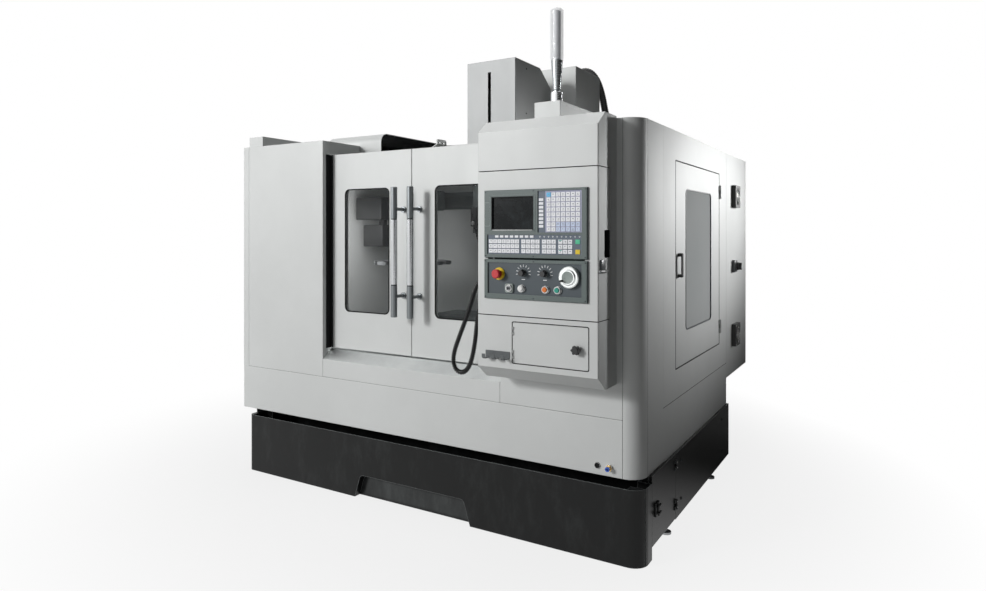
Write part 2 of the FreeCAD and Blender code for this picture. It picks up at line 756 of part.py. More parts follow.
def base_hatch():
    """The black hatch in the right side of the skirt, with its lever lock."""
    y = (back(s.skirt_start) + 2, back(s.hatch_end))
    z = (s.skirt_low + 5, s.panel_low - s.play)
    pan = tray((s.half_width - 15, s.half_width), y, z, "-X")
    moving = knuckles(HATCH_AXIS, HATCH_HINGES, 5, 48, back(s.hatch_end) - 20, "Y", True, s.half_width)
    lock_y, lock_z = y[0] + 68, size(199)
    plate = box((s.half_width - 6, s.half_width - 0.8), (lock_y - 18, lock_y + 18),
                (lock_z - 30, lock_z + 30))
    recess = box((s.half_width - 2.4, s.half_width + 1), (lock_y - 14, lock_y + 14),
                 (lock_z - 26, lock_z + 26))
    lever = box((s.half_width - 3, s.half_width - 0.9), (lock_y - 6, lock_y + 6),
                (lock_z - 22, lock_z + 14))
    node("base_hatch", fuse(cut(fuse(pan, plate, *moving), recess), lever))


def foot(x, y, top, lock, radius):
    """A levelling foot: disc, stud and lock nut, with its top under or through the frame."""
    f = Solid("Foot")
    f.turn([(0, 0), (radius, 0), (radius, 10), (s.stud_r, 10), (s.stud_r, lock),
            (s.stud_r + 5, lock), (s.stud_r + 5, top), (0, top)])
    return f.at(x, y, 0)


def levelling_feet():
    feet = []
    for side in (1, -1):
        for y in (s.foot_front, s.foot_rear):
            # the stud passes the skirt's bottom rail and the nut carries it from below
            f = Solid("Foot")
            f.turn([(0, 0), (s.foot_r, 0), (s.foot_r, 10), (s.stud_r, 10),
                    (s.stud_r, s.skirt_low - 10), (s.stud_r + 5, s.skirt_low - 10),
                    (s.stud_r + 5, s.skirt_low), (s.stud_r, s.skirt_low), (s.stud_r, s.skirt_low + 30),
                    (0, s.skirt_low + 30)])
            feet.append(f.at(side * (s.half_width - 30), back(y), 0))
        for y in (s.bed_front + 110, (s.bed_front + s.bed_rear) / 2, s.bed_rear - 110):
            feet.append(foot(side * (s.bed_half - 70), back(y), s.bed_low, s.bed_low - 14, 45))
    node("levelling_feet", group(*feet))


# ---------------------------------------------------------------------------- enclosure panels
def corner_panel(left, low, high):
    """A front panel that wraps round the right corner, folded inwards at its edges."""
    p = Solid("CornerPanel")
    front, end = back(0), back(s.wrap_end)
    side, inner = s.side_x, s.side_x - s.fold
    behind = front + s.fold
    p.pad("XY", (low, high), polygon(
        (left, front), (side, front), (side, end), (inner, end), (inner, behind), (left, behind)))
    wall = s.sheet
    p.pocket("XY", (size(low) + wall, size(high) - wall), polygon(
        (size(left) + wall, front + wall), (side - wall, front + wall), (side - wall, end - wall),
        (inner - 1, end - wall), (inner - 1, behind + 1), (size(left) + wall, behind + 1)))
    p.round(s.corner_r - wall, "Z", (side - wall, front + wall))
    p.round(s.corner_r, "Z", (side, front))
    # the visible folds along the bottom and the top follow the corner round
    p.round(s.bend, "X", (front, low), (front, high))
    return p


def folded_panel(x, z):
    """A flat front panel of one sheet, folded inwards on all four sides."""
    p = Solid("Panel")
    front, rear = back(0), back(s.fold)
    t = s.sheet
    p.pad("XZ", (front, rear), rectangle(x, z))
    p.pocket("XZ", (front + t, rear), rectangle((x[0] + t, x[1] - t), (z[0] + t, z[1] - t)))
    p.round(s.bend, "Z", (x[0], front), (x[1], front))
    p.round(s.bend, "X", (front, z[0]), (front, z[1]))
    return p


def lower_front_panel():
    node("lower_front_panel", folded_panel((-s.half_width, s.corner_seam), (s.panel_low, s.panel_seam)))


def right_front_panel():
    """The panel behind the console and the round corner post beside it."""
    flat = folded_panel((s.opening_right, s.corner_seam), (s.panel_seam, s.side_top))
    post = corner_panel(s.corner_seam, s.panel_low, s.side_top)
    post.round(s.bend, "Z", (s.corner_seam, back(0)))
    node("right_front_panel", group(flat.body, post.body))


def left_front_cover():
    """The cover over the parked left door."""
    x = (s.left_wall - s.half_width, s.cover_right)
    node("left_front_cover", folded_panel(x, (s.panel_seam, s.left_top)))


def door_surround():
    """The painted apron under the doors and the header tube behind them that guides them."""
    a = folded_panel((s.cover_right, s.opening_right), (s.panel_seam, s.sill_low))
    h = Solid("Header")
    ends = (s.sheet - s.half_width, s.side_x - s.sheet)
    near, far = back(s.door_face + s.door_thick + s.door_gap), back(s.header_back)
    wall = s.sheet
    low, top = s.header_low, s.header_top
    h.pad("YZ", ends, rectangle((near, far), (low, top)))
    h.pocket("YZ", ends, rectangle((near + wall, far - wall), (low + wall, top - wall)))
    h.pocket("YZ", ends, rectangle(
        (near, near + wall),
        (s.tongue_z - s.play, s.tongue_z + s.tongue_thick + s.play)))
    lug = Solid("Lug")
    y0, y1 = back(s.lug_front), back(s.lug_front) + s.lug_long
    lug.pad("YZ", (s.lug_x - 4, s.lug_x + 4), polygon(
        (near + 12, top), (far, top), (far, top + 18), (y1, top + 18), (y1, s.lug_top),
        (y0, s.lug_top), (y0, top + 30), (near + 12, top + 12)))
    lug.round(12, "X", (y1, s.lug_top), (y0, s.lug_top))
    lug.pocket("YZ", (s.lug_x - 4, s.lug_x + 4), circle(y0 + 24, s.lug_top - 17, 7),
               circle(y1 - 24, s.lug_top - 17, 7))
    rail = box((s.lug_x, ends[1]), (y1 - 6, y1), (top + 18, top + 30))
    node("door_surround", group(a.body, fuse(h.body, lug.body, rail)))


def door_sill():
    """The folded stainless sill that slopes up from the apron to the doors."""
    p = Solid("Sill")
    t = s.sheet
    front, slope, rear = back(0), back(s.door_face), back(s.header_back)
    p.pad("YZ", (s.cover_right, s.opening_right), polygon(
        (front, s.sill_low), (slope, s.sill_high), (rear, s.sill_high), (rear, s.sill_low - 60),
        (rear - t, s.sill_low - 60), (rear - t, s.sill_high - t), (slope + 1, s.sill_high - t),
        (front + 8, s.sill_low)))
    node("door_sill", p)


def side_panel_right():
    """The right side: one folded panel with the opening of the side door in it."""
    p = Solid("SidePanel")
    x = (s.side_x - s.fold, s.side_x)
    y = (back(s.wrap_end), back(s.cabinet_front))
    z = (s.panel_low, s.side_top)
    p.pad("YZ", x, rectangle(y, z))
    frame, wall = 24, s.sheet
    hole_y = (back(s.sdoor_start), back(s.sdoor_end))
    hole_z = (s.sdoor_low, s.sdoor_top)
    p.pocket("YZ", (x[0], x[1] - wall),
             rectangle((y[0] + wall, y[1] - wall), (z[0] + wall, z[1] - wall)),
             rectangle((hole_y[0] - frame, hole_y[1] + frame), (hole_z[0] - frame, hole_z[1] + frame)))
    p.pocket("YZ", x, rectangle(hole_y, hole_z))
    p.round(s.bend, "Z", (x[1], y[0]), (x[1], y[1]))
    p.pocket("YZ", (x[1] - 1.5, x[1]), rectangle(y, (s.panel_seam - 4, s.panel_seam)))
    fixed = knuckles(SIDE_AXIS, SIDE_HINGES, 6, 80, hole_y[1] + 8, "Y", False, s.side_x)
    return fuse(p.body, *fixed)


def side_panels():
    left, right = -s.half_width, s.left_wall - s.half_width
    wall = cut(
        tray((left, right), (back(0), back(s.cabinet_front)), (s.panel_low, s.left_top), "X"),
        box((left - 1, right + 1), (back(-1), back(s.fold)), (s.panel_low - 1, s.panel_seam)))
    span = (back(s.fold), back(s.cabinet_front))
    duct = tray((left, left + s.duct_wide), span, (s.left_top, s.duct_top), "-Z")
    node("side_panels", group(side_panel_right(), fuse(wall, duct)))


def rear_panels():
    y = (back(s.cabinet_front) - s.fold, back(s.cabinet_front))
    edge = s.crown_half + 10
    right = tray((edge, s.side_x - s.fold), y, (s.panel_low, s.side_top), "-Y")
    left = tray((s.left_wall - s.half_width, -edge), y, (s.panel_low, s.left_top), "-Y")
    base = s.bed_half + 16
    notch = box((-base, base), (y[0] - 1, y[1] + 1), (s.panel_low - 1, s.bed_top + 96))
    node("rear_panels", group(cut(left, notch), cut(right, notch)))


def magazine_hood():
    """The roof sheet over the left side and the rounded hood, open to the right."""
    roof = box((s.left_wall - s.half_width, s.cover_right), (back(s.fold), back(s.cabinet_front) - s.fold),
               (s.left_top - s.sheet, s.left_top))
    curb = box((s.cover_right - s.sheet, s.cover_right), (back(s.fold), back(s.cabinet_front) - s.fold),
               (s.door_top + 8, s.left_top))
    y = (back(s.hood_front), back(s.hood_back))
    shell = Solid("Hood")
    low = s.door_top + 8
    shell.pad("YZ", (s.hood_left, s.hood_right), rectangle(y, (low, s.hood_top)))
    shell.round(s.hood_r, "X", (y[0], s.hood_top))
    cover = fuse(shell.body, roof, curb)
    t = s.sheet
    inside = Solid("HoodInside")
    inside.pad("YZ", (s.hood_left + t, s.hood_right + 1), rectangle((y[0] + t, y[1] - t), (low - 1, s.hood_top - t)))
    inside.round(s.hood_r - t, "X", (y[0] + t, s.hood_top - t))
    under = box((s.hood_left - 1, s.cover_right - t), (y[0] - 1, y[1] + 1), (low - 1, s.left_top - t))
    node("magazine_hood", cut(cover, inside.body, under))


def chip_pans():
    """Sloped pans beside the bed and a gutter in front of it."""
    wings = []
    y = (back(s.header_back) + 120, back(s.cabinet_front) - s.fold)
    t = s.sheet
    reach = s.bed_half + 6
    for side in (1, -1):
        outer = s.side_x - s.fold if side > 0 else s.half_width - s.left_wall
        p = Solid("Pan")
        line = [(outer, s.sill_high), (outer, s.sill_low - 30), (reach, s.bed_top - 30),
                (reach, s.bed_top + 4), (reach + t, s.bed_top + 4), (reach + t, s.bed_top - 30 + t),
                (outer - t, s.sill_low - 30 + t), (outer - t, s.sill_high)]
        p.pad("XZ", y, polygon(*[(x * side, z) for x, z in line]))
        wings.append(p.body)
    g = Solid("Gutter")
    gy = (back(s.header_back), y[0])
    g.pad("YZ", (s.left_wall - s.half_width, s.side_x - s.fold), polygon(
        (gy[0], s.sill_low - 20), (gy[0], s.bed_top - 120), (gy[1], s.bed_top - 120),
        (gy[1], s.bed_top - 34), (gy[1] - t, s.bed_top - 34), (gy[1] - t, s.bed_top - 120 + t),
        (gy[0] + t, s.bed_top - 120 + t), (gy[0] + t, s.sill_low - 20)))
    node("chip_pans", group(*wings, g.body))


# ---------------------------------------------------------------------------- front doors
def framed_skin(solid, plane, skin, inner, x, z, window, top_rail=0):
    """Hollows a door behind its skin and cuts a seat for the pane and the window in it.

    skin and inner are the (low, high) spans of the skin and of the hollow along the normal.
    """
    t = s.sheet
    (x0, x1), (z0, z1) = x, z
    (w0, w1), (v0, v1) = window
    lap = s.pane_lap + s.play
    rim = lap + 12
    solid.pocket(plane, inner,
                 rectangle((x0 + t, x1 - t), (z0 + t, z1 - t - top_rail)),
                 rectangle((w0 - rim, w1 + rim), (v0 - rim, v1 + rim)))
    solid.pocket(plane, inner, rounded((w0 - lap, w1 + lap), (v0 - lap, v1 + lap), s.window_r + lap))
    solid.pocket(plane, skin, rounded((w0, w1), (v0, v1), s.window_r))


def pane(plane, span, window):
    (w0, w1), (v0, v1) = window
    lap = s.pane_lap
    p = Solid("Pane")
    p.pad(plane, span, rounded((w0 - lap, w1 + lap), (v0 - lap, v1 + lap), s.window_r + lap))
    return p


def sliding_door(side, left, right, window_at, grip):
    """One front door: skin, folds, window seat and the tongue that slides in the header."""
    d = Solid("Door")
    front = back(s.door_face)
    rear = front + s.door_thick
    z = (s.door_low, s.door_top)
    window = ((window_at, window_at + s.window_wide), (s.window_low, s.window_high))
    d.pad("XZ", (front, rear), rectangle((left, right), z))
    framed_skin(d, "XZ", (front, front + s.sheet), (front + s.sheet, rear), (left, right), z, window,
                s.door_top - s.tongue_z - s.sheet)
    d.round(s.bend, "Z", (left, front), (right, front))
    d.round(s.bend, "X", (front, z[0]), (front, z[1]))
    d.pad("XZ", (rear, rear + s.tongue),
          rectangle((left + 2, right - 2), (s.tongue_z, s.tongue_z + s.tongue_thick)))
    node(f"{side}_door", d)
    node(f"{side}_door_window",
         pane("XZ", (front + s.sheet, front + s.sheet + s.pane_thick), window))
    node(f"{side}_door_handle", door_handle(grip))


def door_handle(x):
    """A tubular pull with ringed ends on two turned posts."""
    y = back(s.door_face) - s.grip_out
    r, ring, end, high = s.grip_r, 1.2, s.grip_end, s.grip_high - s.grip_low
    bar = Solid("Bar")
    bar.turn([(0, 0), (r - 2, 0), (r, 2), (r, end), (r - ring, end), (r - ring, end + 5), (r, end + 5),
              (r, high - end - 5), (r - ring, high - end - 5), (r - ring, high - end), (r, high - end),
              (r, high - 2), (r - 2, high), (0, high)])
    posts = []
    for z in (s.post_low, s.post_high):
        posts.append(cylinder(9, (x, y, z), s.grip_out, "Y"))
        posts.append(cylinder(16, (x, back(s.door_face) - 8, z), 8, "Y"))
    return fuse(bar.at(x, y, s.grip_low), *posts)


def side_door():
    """The hinged door in the right side, with its window, hinges and bar handle."""
    d = Solid("SideDoor")
    gap = s.door_gap
    x = (s.side_x - s.door_thick, s.side_x)
    y = (back(s.sdoor_start) + gap, back(s.sdoor_end) - gap)
    z = (s.sdoor_low + gap, s.sdoor_top - gap)
    window = ((back(s.swin_start), back(s.swin_end)), (s.swin_low, s.swin_top))
    d.pad("YZ", x, rectangle(y, z))
    framed_skin(d, "YZ", (x[1] - s.sheet, x[1]), (x[0], x[1] - s.sheet), y, z, window)
    d.round(s.bend, "Z", (x[1], y[0]), (x[1], y[1]))
    moving = knuckles(SIDE_AXIS, SIDE_HINGES, 6, 80, y[1] - 7, "Y", True, s.side_x)
    node("side_door", fuse(d.body, *moving))
    node("side_door_window",
         pane("YZ", (x[1] - s.sheet - s.pane_thick, x[1] - s.sheet), window))
    h = Solid("Pull")
    low, high = s.sgrip_low, s.sgrip_high
    middle = back(s.sgrip_y)
    out = x[1] + s.sgrip_out
    h.pad("YZ", (x[1], out), rounded((middle - 11, middle + 11), (low, high), 6))
    h.pocket("XZ", (middle - 11, middle + 11), rectangle((x[1], out - 7), (low + 16, high - 16)))
    h.round(5, "Z", (out, middle - 11), (out, middle + 11))
    node("side_door_handle", h)


# ---------------------------------------------------------------------------- operator console
def console_case():
    """The fixed part of the console: cap, rear frame and lower box as one hollow folded case."""
    c = Solid("Case")
    t = s.sheet
    x = (s.console_left, s.console_right)
    front, rear = ahead(s.console_deep), back(0)
    mid = ahead(s.shell_back) + s.shell_gap
    low, high = s.shell_low - s.shell_gap, s.shell_top + s.shell_gap
    bottom, top = s.console_low, s.console_top
    c.pad("XY", (bottom, top), rectangle(x, (front, rear)))
    c.pocket("YZ", (x[0] + t, x[1] - t), polygon(
        (rear - t, bottom + t), (front + s.chin_back, bottom + t), (front + t, bottom + s.chin_up),
        (front + t, low - t), (mid - 1, low - t), (mid - 1, high + t), (front + t, high + t),
        (front + t, s.console_lid), (front + s.lid_back, top - t), (rear - t, top - t)))
    inner, outer = s.console_r - t, s.console_r
    c.round(inner, "Z", (x[0] + t, front + t), (x[1] - t, front + t))
    c.round(outer, "Z", (x[0], front), (x[1], front))
    wide = (x[0] - 1, x[1] + 1)
    c.pocket("YZ", wide, rectangle((front - 1, mid), (low, high)))
    c.pocket("YZ", wide, polygon((front, s.console_lid), (front + s.lid_back, top), (front - 1, top + 1),
                                 (front - 1, s.console_lid)))
    c.pocket("YZ", wide, polygon((front, bottom + s.chin_up), (front - 1, bottom + s.chin_up),
                                 (front - 1, bottom - 1), (front + s.chin_back, bottom)))
    c.pocket("XZ", (front, front + t),
             rounded((s.flap_left, s.flap_right), (s.flap_low, s.flap_high), 6))
    fixed = knuckles(SHELL_AXIS, SHELL_HINGES, 5, 60, mid + 20, "Y", False, x[0])
    fixed += knuckles(FLAP_AXIS, FLAP_HINGES, 4, 36, s.flap_left - 4, "X", False, front)
    node("console_case", fuse(c.body, *fixed))


def console_shell():
    """The hinged middle of the console with the side grip and the cut-out for the controls."""
    c = Solid("Shell")
    t = s.sheet
    x = (s.console_left, s.console_right)
    front, rear = ahead(s.console_deep), ahead(s.shell_back)
    z = (s.shell_low, s.shell_top)
    c.pad("XY", z, rectangle(x, (front, rear)))
    c.pocket("XZ", (front + t, rear), rectangle((x[0] + t, x[1] - t), (z[0] + t, z[1] - t)))
    c.round(s.console_r - t, "Z", (x[0] + t, front + t), (x[1] - t, front + t))
    c.round(s.console_r, "Z", (x[0], front), (x[1], front))
    y = (ahead(s.recess_front), ahead(s.recess_back))
    v = (s.recess_low, s.recess_high)
    deep = x[1] - s.recess_deep
    c.pad("YZ", (deep - t, x[1] - t / 2), rectangle((y[0] - t, y[1] + t), (v[0] - t, v[1] + t)))
    c.pocket("YZ", (deep, x[1]), rounded(y, v, 8))
    edge = 14
    c.pocket("XZ", (front, front + t), rectangle(
        (s.frame_left + edge, s.frame_left + s.frame_wide - edge),
        (s.lower_low + edge, s.upper_high - edge)))
    moving = knuckles(SHELL_AXIS, SHELL_HINGES, 5, 60, rear - 20, "Y", True, x[0])
    node("console_shell", fuse(c.body, *moving))


def console_flap():
    """The small door of the lower box, hinged at its left edge."""
    p = Solid("Flap")
    gap = 1.5
    front = ahead(s.console_deep)
    x = (s.flap_left + gap, s.flap_right - gap)
    z = (s.flap_low + gap, s.flap_high - gap)
    p.pad("XZ", (front, front + s.flap_thick), rounded(x, z, 6))
    t = s.sheet
    p.pocket("XZ", (front + t, front + s.flap_thick), rectangle((x[0] + 6, x[1] - 6), (z[0] + 6, z[1] - 6)))
    boss = cylinder(14, (s.star_x, front + t / 2, s.star_z), s.flap_thick - t / 2, "Y")
    bore = cylinder(5.5, (s.star_x, front - 1, s.star_z), s.flap_thick + 2, "Y")
    moving = knuckles(FLAP_AXIS, FLAP_HINGES, 4, 36, x[0] + 5, "X", True, front)
    node("console_flap", cut(fuse(p.body, boss, *moving), bore))
    k = Solid("StarKnob")
    r = s.star_r
    k.turn([(0, 0), (5, 0), (5, s.flap_thick + 1), (9, s.flap_thick + 1), (9, s.flap_thick + 8),
            (r - 5, s.flap_thick + 12), (r - 4, s.flap_thick + 26), (r - 8, s.flap_thick + 30),
            (0, s.flap_thick + 30)])
    k.pad("XY", (s.flap_thick + 12, s.flap_thick + 27), circle(r - 6, 0, 5.5))
    k.around(k.last, 6)
    knob = k.at(s.star_x, front + s.flap_thick, s.star_z, "-Y")
    # the latch bar behind the flap hangs down when the knob is unlocked
    reach = s.flap_right - s.star_x + 10
    bar = box((s.star_x - 7, s.star_x + 7), (front + s.flap_thick + 1, front + s.flap_thick + 5),
              (s.star_z - reach, s.star_z + 8))
    stem = cylinder(5, (s.star_x, front + s.flap_thick - 1, s.star_z), 3, "Y")
    node("star_knob", fuse(knob, bar, stem))


def pendant_hooks():
    """A bent bright strip with three hooks for the hand pendant."""
    p = Solid("Hooks")
    front = ahead(s.console_deep)
    left, z = s.hooks_left, s.hooks_z
    p.pad("XZ", (front - 2.5, front), rounded((left, left + s.hooks_wide), (z - 16, z + 16), 3))
    for i in range(3):
        x = left + 14 + (s.hooks_wide - 28) * (i / 2)
        p.pad("YZ", (x - 8, x + 8), polygon(
            (front - 1, z - 16), (front - 36, z - 16), (front - 44, z - 8), (front - 44, z + 6),
            (front - 41.5, z + 6), (front - 41.5, z - 7), (front - 35, z - 13.5), (front - 1, z - 13.5)))
    node("pendant_hooks", p)


# ---------------------------------------------------------------------------- control frames
FACE = ahead(s.console_deep) - s.frame_proud
PLATE = FACE + s.plate_drop
KEYS_X = (s.frame_left + 263, s.frame_left + 463)
KEYS_Z = (s.upper_high - 183, s.upper_high - 9)
STRIP_X = (s.frame_left + 16, s.frame_left + 462)
STRIP_Z = (s.upper_low + 16, s.upper_low + 100)
PANEL_X = (s.frame_left + 18, s.frame_left + 463)
PANEL_Z = (s.lower_low + 22, s.lower_high - 14)


def frame_body(low, high):
    """A cast bezel with bevelled edges and the box behind it."""
    f = Solid("Frame")
    front = ahead(s.console_deep)
    x = (s.frame_left, s.frame_left + s.frame_wide)
    f.pad("XZ", (FACE, front), rectangle(x, (low, high)))
    f.bevel(3, "X", (FACE, low), (FACE, high))
    f.bevel(3, "Z", (x[0], FACE), (x[1], FACE))
    f.pad("XZ", (front, front + s.control_deep),
          rectangle((x[0] + 16, x[1] - 16), (size(low) + 16, size(high) - 16)))
    return f


def control_frames():
    up = frame_body(s.upper_low, s.upper_high)
    up.pocket("XZ", (FACE, PLATE), rectangle(KEYS_X, KEYS_Z))
    up.pocket("XZ", (FACE, PLATE), rectangle(STRIP_X, STRIP_Z))
    screen_x = (s.screen_left, s.screen_left + s.screen_wide)
    screen_z = (s.screen_low, s.screen_low + s.screen_high)
    up.pocket("XZ", (FACE, PLATE + 4), rounded(screen_x, screen_z, 3))
    # the outline of the small port door beside the screen
    port_x, port_z = (s.frame_left + 5, s.frame_left + 28), (s.screen_low + 13, s.screen_low + 117)
    up.pocket("XZ", (FACE, FACE + 1), rectangle(port_x, port_z),
              rectangle((port_x[0] + 1.5, port_x[1] - 1.5), (port_z[0] + 1.5, port_z[1] - 1.5)))

    down = frame_body(s.lower_low, s.lower_high)
    down.pocket("XZ", (FACE, PLATE), rectangle(PANEL_X, PANEL_Z))
    rings = [ring(s.estop_x, s.estop_z, 26, 14.5, 4)]
    rings += [ring(x, s.selector_z, 15, 8.5, 5) for x in (s.speed_x, s.feed_x)]
    rings.append(ring(s.wheel_x, s.wheel_z, s.wheel_r, 12.5, 3))
    rings += [ring(x, s.button_z, s.button_r + 4, s.button_r + s.play, 11)
              for x in (s.lock_x, s.white_x, s.orange_x, s.green_x)]
    wells = [
        cylinder(r, (x, PLATE - 1, z), 18, "Y")
        for x, z, r in (
            (s.estop_x, s.estop_z, 14.5), (s.speed_x, s.selector_z, 8.5),
            (s.feed_x, s.selector_z, 8.5), (s.wheel_x, s.wheel_z, 12.5),
            (s.lock_x, s.button_z, s.button_r + s.play), (s.white_x, s.button_z, s.button_r + s.play),
            (s.orange_x, s.button_z, s.button_r + s.play), (s.green_x, s.button_z, s.button_r + s.play))
    ]
    node("control_frames", group(up.body, fuse(cut(down.body, *wells), *rings)))


def ring(x, z, radius, bore, high):
    """A fixed collar that stands on the sunk plate, round a control."""
    r = Solid("Ring")
    chamfer = 1
    r.turn([(bore, 0), (radius, 0), (radius, high - chamfer), (radius - chamfer, high), (bore, high)])
    return r.at(x, PLATE, z, "-Y")


def screen():
    x = (s.screen_left + s.play, s.screen_left + s.screen_wide - s.play)
    z = (s.screen_low + s.play, s.screen_low + s.screen_high - s.play)
    g = Solid("Glass")
    g.pad("XZ", (PLATE, PLATE + 4), rounded(x, z, 3))
    node("screen", g)


def key_rows(sheet, first, count, pitch, key):
    """A block of like keys that starts at its lower left key."""
    (x, z), (nx, nz), (px, pz), (w, v) = first, count, pitch, key
    sheet.pad("XZ", (PLATE - 1 - s.key_proud, PLATE - 1),
              rectangle((x - w / 2, x + w / 2), (z - v / 2, z + v / 2)))
    if nx * nz > 1:
        sheet.rows(sheet.last, "Z_Axis", nx, px * (nx - 1), nz, pz * (nz - 1))


def keypad():
    """Two key sheets: the keyboard beside the screen and the operator keys under it."""
    left = s.frame_left - 8
    a = Solid("Keyboard")
    gap = s.play
    a.pad("XZ", (PLATE - 1, PLATE), rectangle((KEYS_X[0] + gap, KEYS_X[1] - gap), (KEYS_Z[0] + gap, KEYS_Z[1] - gap)))
    key_rows(a, (left + 286, s.upper_low + 135), (1, 8), (0, 15.9), (21, 11))
    key_rows(a, (left + 321, s.upper_low + 122), (7, 8), (22, 20.6), (19, 17.5))
    b = Solid("OperatorKeys")
    b.pad("XZ", (PLATE - 1, PLATE), rectangle((STRIP_X[0] + gap, STRIP_X[1] - gap), (STRIP_Z[0] + gap, STRIP_Z[1] - gap)))
    key_rows(b, (left + 71, s.upper_low + 92), (8, 1), (24.4, 0), (17, 10))
    low = s.upper_low + 30
    for start, count, pitch, wide in ((41, 7, 21.7, 20), (202, 4, 22.3, 20), (300, 3, 21.9, 20), (375, 3, 21.6, 19)):
        key_rows(b, (left + start, low), (count, 3), (pitch, 20.5), (wide, 17))
    key_rows(b, (left + 452, low), (1, 2), (0, 41), (20, 18))
    node("keypad", group(a.body, b.body))


def controls():
    """The moving heads of the switches, each turned about the normal of the sunk plate."""
    e = Solid("Stop")
    r = s.estop_r
    e.turn([(0, 1), (13.5, 1), (13.5, 21), (r, 21), (r, 33), (r - 4, 38), (0, 38)])
    node("emergency_stop", e.at(s.estop_x, PLATE, s.estop_z, "-Y"))
    for name, x in (("speed_selector", s.speed_x), ("feed_selector", s.feed_x)):
        k = Solid("Knob")
        k.turn([(0, 1), (8, 1), (8, 5.5), (14, 5.5), (14, 9), (11.5, 12), (11.5, 29), (0, 29)])
        k.pad("XY", (5.5, 22), rectangle((-2.5, 2.5), (9, 16)))
        node(name, k.at(x, PLATE, s.selector_z, "-Y"))
    w = Solid("Wheel")
    r = s.wheel_r
    w.turn([(0, 0.5), (12, 0.5), (12, 3.5), (r - 2, 3.5), (r - 2, 17), (r - 5, 20), (r - 12, 20),
            (r - 17, 27), (r - 20, 27), (r - 20, 25), (0, 25)])
    w.pad("XY", (20, 44), circle(-(r - 22), -14, 5))
    node("handwheel", w.at(s.wheel_x, PLATE, s.wheel_z, "-Y"))
    key = Solid("Lock")
    r = s.button_r
    key.turn([(0, -6), (r, -6), (r, 13), (r - 1, 14), (0, 14)])
    key.pad("XY", (13, 30), rectangle((-1.2, 1.2), (-6.5, 6.5)))
    node("key_switch", key.at(s.lock_x, PLATE, s.button_z, "-Y"))
    for name, x in (("white_button", s.white_x), ("orange_button", s.orange_x), ("green_button", s.green_x)):
        b = Solid("Button")
        b.turn([(0, -6), (r, -6), (r, 15), (r - 2, 17), (0, 17)])
        node(name, b.at(x, PLATE, s.button_z, "-Y"))


# ---------------------------------------------------------------------------- electrical cabinet
def electrical_cabinet():
    """The cabinet's case with its sealing lip, mounting plate, units and main switch boss."""
    t = s.sheet
    x = (s.cabinet_left, s.side_x)
    y = (back(s.cabinet_front), back(s.cabinet_rear - s.cabinet_door) - s.seal)
    z = (s.cabinet_low, s.side_top)
    c = Solid("Cabinet")
    c.pad("XY", z, rectangle(x, y))
    c.pocket("XZ", (y[0] + t, y[1]), rectangle((x[0] + t, x[1] - t), (z[0] + t, z[1] - t)))
    c.round(s.bend, "Z", (x[1], y[0]))
    lip = 16
    outer = rectangle((x[0] + lip, x[1] - lip), (z[0] + lip, z[1] - lip))
    c.pad("XZ", (y[1] - t, y[1]), rectangle((x[0] + t / 2, x[1] - t / 2), (z[0] + t / 2, z[1] - t / 2)), outer)
    c.pad("XZ", (y[1] - t, y[1] + s.seal - s.play), outer,
          rectangle((x[0] + lip + 6, x[1] - lip - 6), (z[0] + lip + 6, z[1] - lip - 6)))
    fan_y = back(s.fan_start) + s.fan_wide / 2
    c.pocket("YZ", (x[1] - t, x[1]), circle(fan_y, s.fan_low + s.fan_wide / 2, 60),
             circle(fan_y, s.fan_high + s.fan_wide / 2, 60),
             circle(back(s.switch_y), s.switch_z, 6.5))
    middle, half = back(s.switch_y), s.switch_wide / 2
    boss = Solid("Boss")
    boss.pad("YZ", (x[1], x[1] + 18), rounded((middle - half, middle + half),
                                              (s.switch_z - half, s.switch_z + half), 6))
    boss.pad("YZ", (x[1] + 18, x[1] + 24), circle(middle, s.switch_z, half - 8))
    boss.pocket("YZ", (x[1], x[1] + 24), circle(middle, s.switch_z, 6.5))
    plate_y = y[0] + 30
    pieces = [box((x[0] + 60, x[1] - 90), (plate_y, plate_y + t), (z[0] + 70, z[1] - 70))]
    for px in (x[0] + 90, x[1] - 120):
        for pz in (z[0] + 100, z[1] - 100):
            pieces.append(cylinder(8, (px, y[0] + t / 2, pz), plate_y - y[0], "Y"))
    # three drive units, a row of contactors and the transformer on the plate
    for i in range(3):
        left = x[0] + 90 + i * 120
        pieces.append(box((left, left + 100), (plate_y + 1, plate_y + 190), (z[1] - 560, z[1] - 130)))
    pieces.append(box((x[0] + 90, x[0] + 530), (plate_y + 1, plate_y + 95), (z[0] + 470, z[0] + 570)))
    pieces.append(box((x[0] + 90, x[0] + 300), (plate_y + 1, plate_y + 170), (z[0] + 110, z[0] + 330)))
    node("electrical_cabinet", fuse(
        c.body, boss.body, *pieces,
        *knuckles(CABINET_AXIS, CABINET_HINGES, 6, 90, y[1] - 24, "Y", False, x[0])))


def cabinet_door():
    x = (s.cabinet_left, s.side_x)
    y = (back(s.cabinet_rear - s.cabinet_door), back(s.cabinet_rear))
    z = (s.cabinet_low, s.side_top)
    d = Solid("RearDoor")
    t = s.sheet
    d.pad("XZ", y, rectangle(x, z))
    d.pocket("XZ", (y[0], y[1] - t), rectangle((x[0] + 36, x[1] - 36), (z[0] + 36, z[1] - 36)))
    d.round(s.bend, "Z", (x[0], y[1]), (x[1], y[1]))
    latches = []
    for pz in (z[0] + 260, z[1] - 260):
        latches.append(cylinder(14, (x[1] - 60, y[1], pz), 6, "Y"))
    moving = knuckles(CABINET_AXIS, CABINET_HINGES, 6, 90, y[0] + 22, "Y", True, x[0])
    node("cabinet_door", fuse(d.body, *latches, *moving))


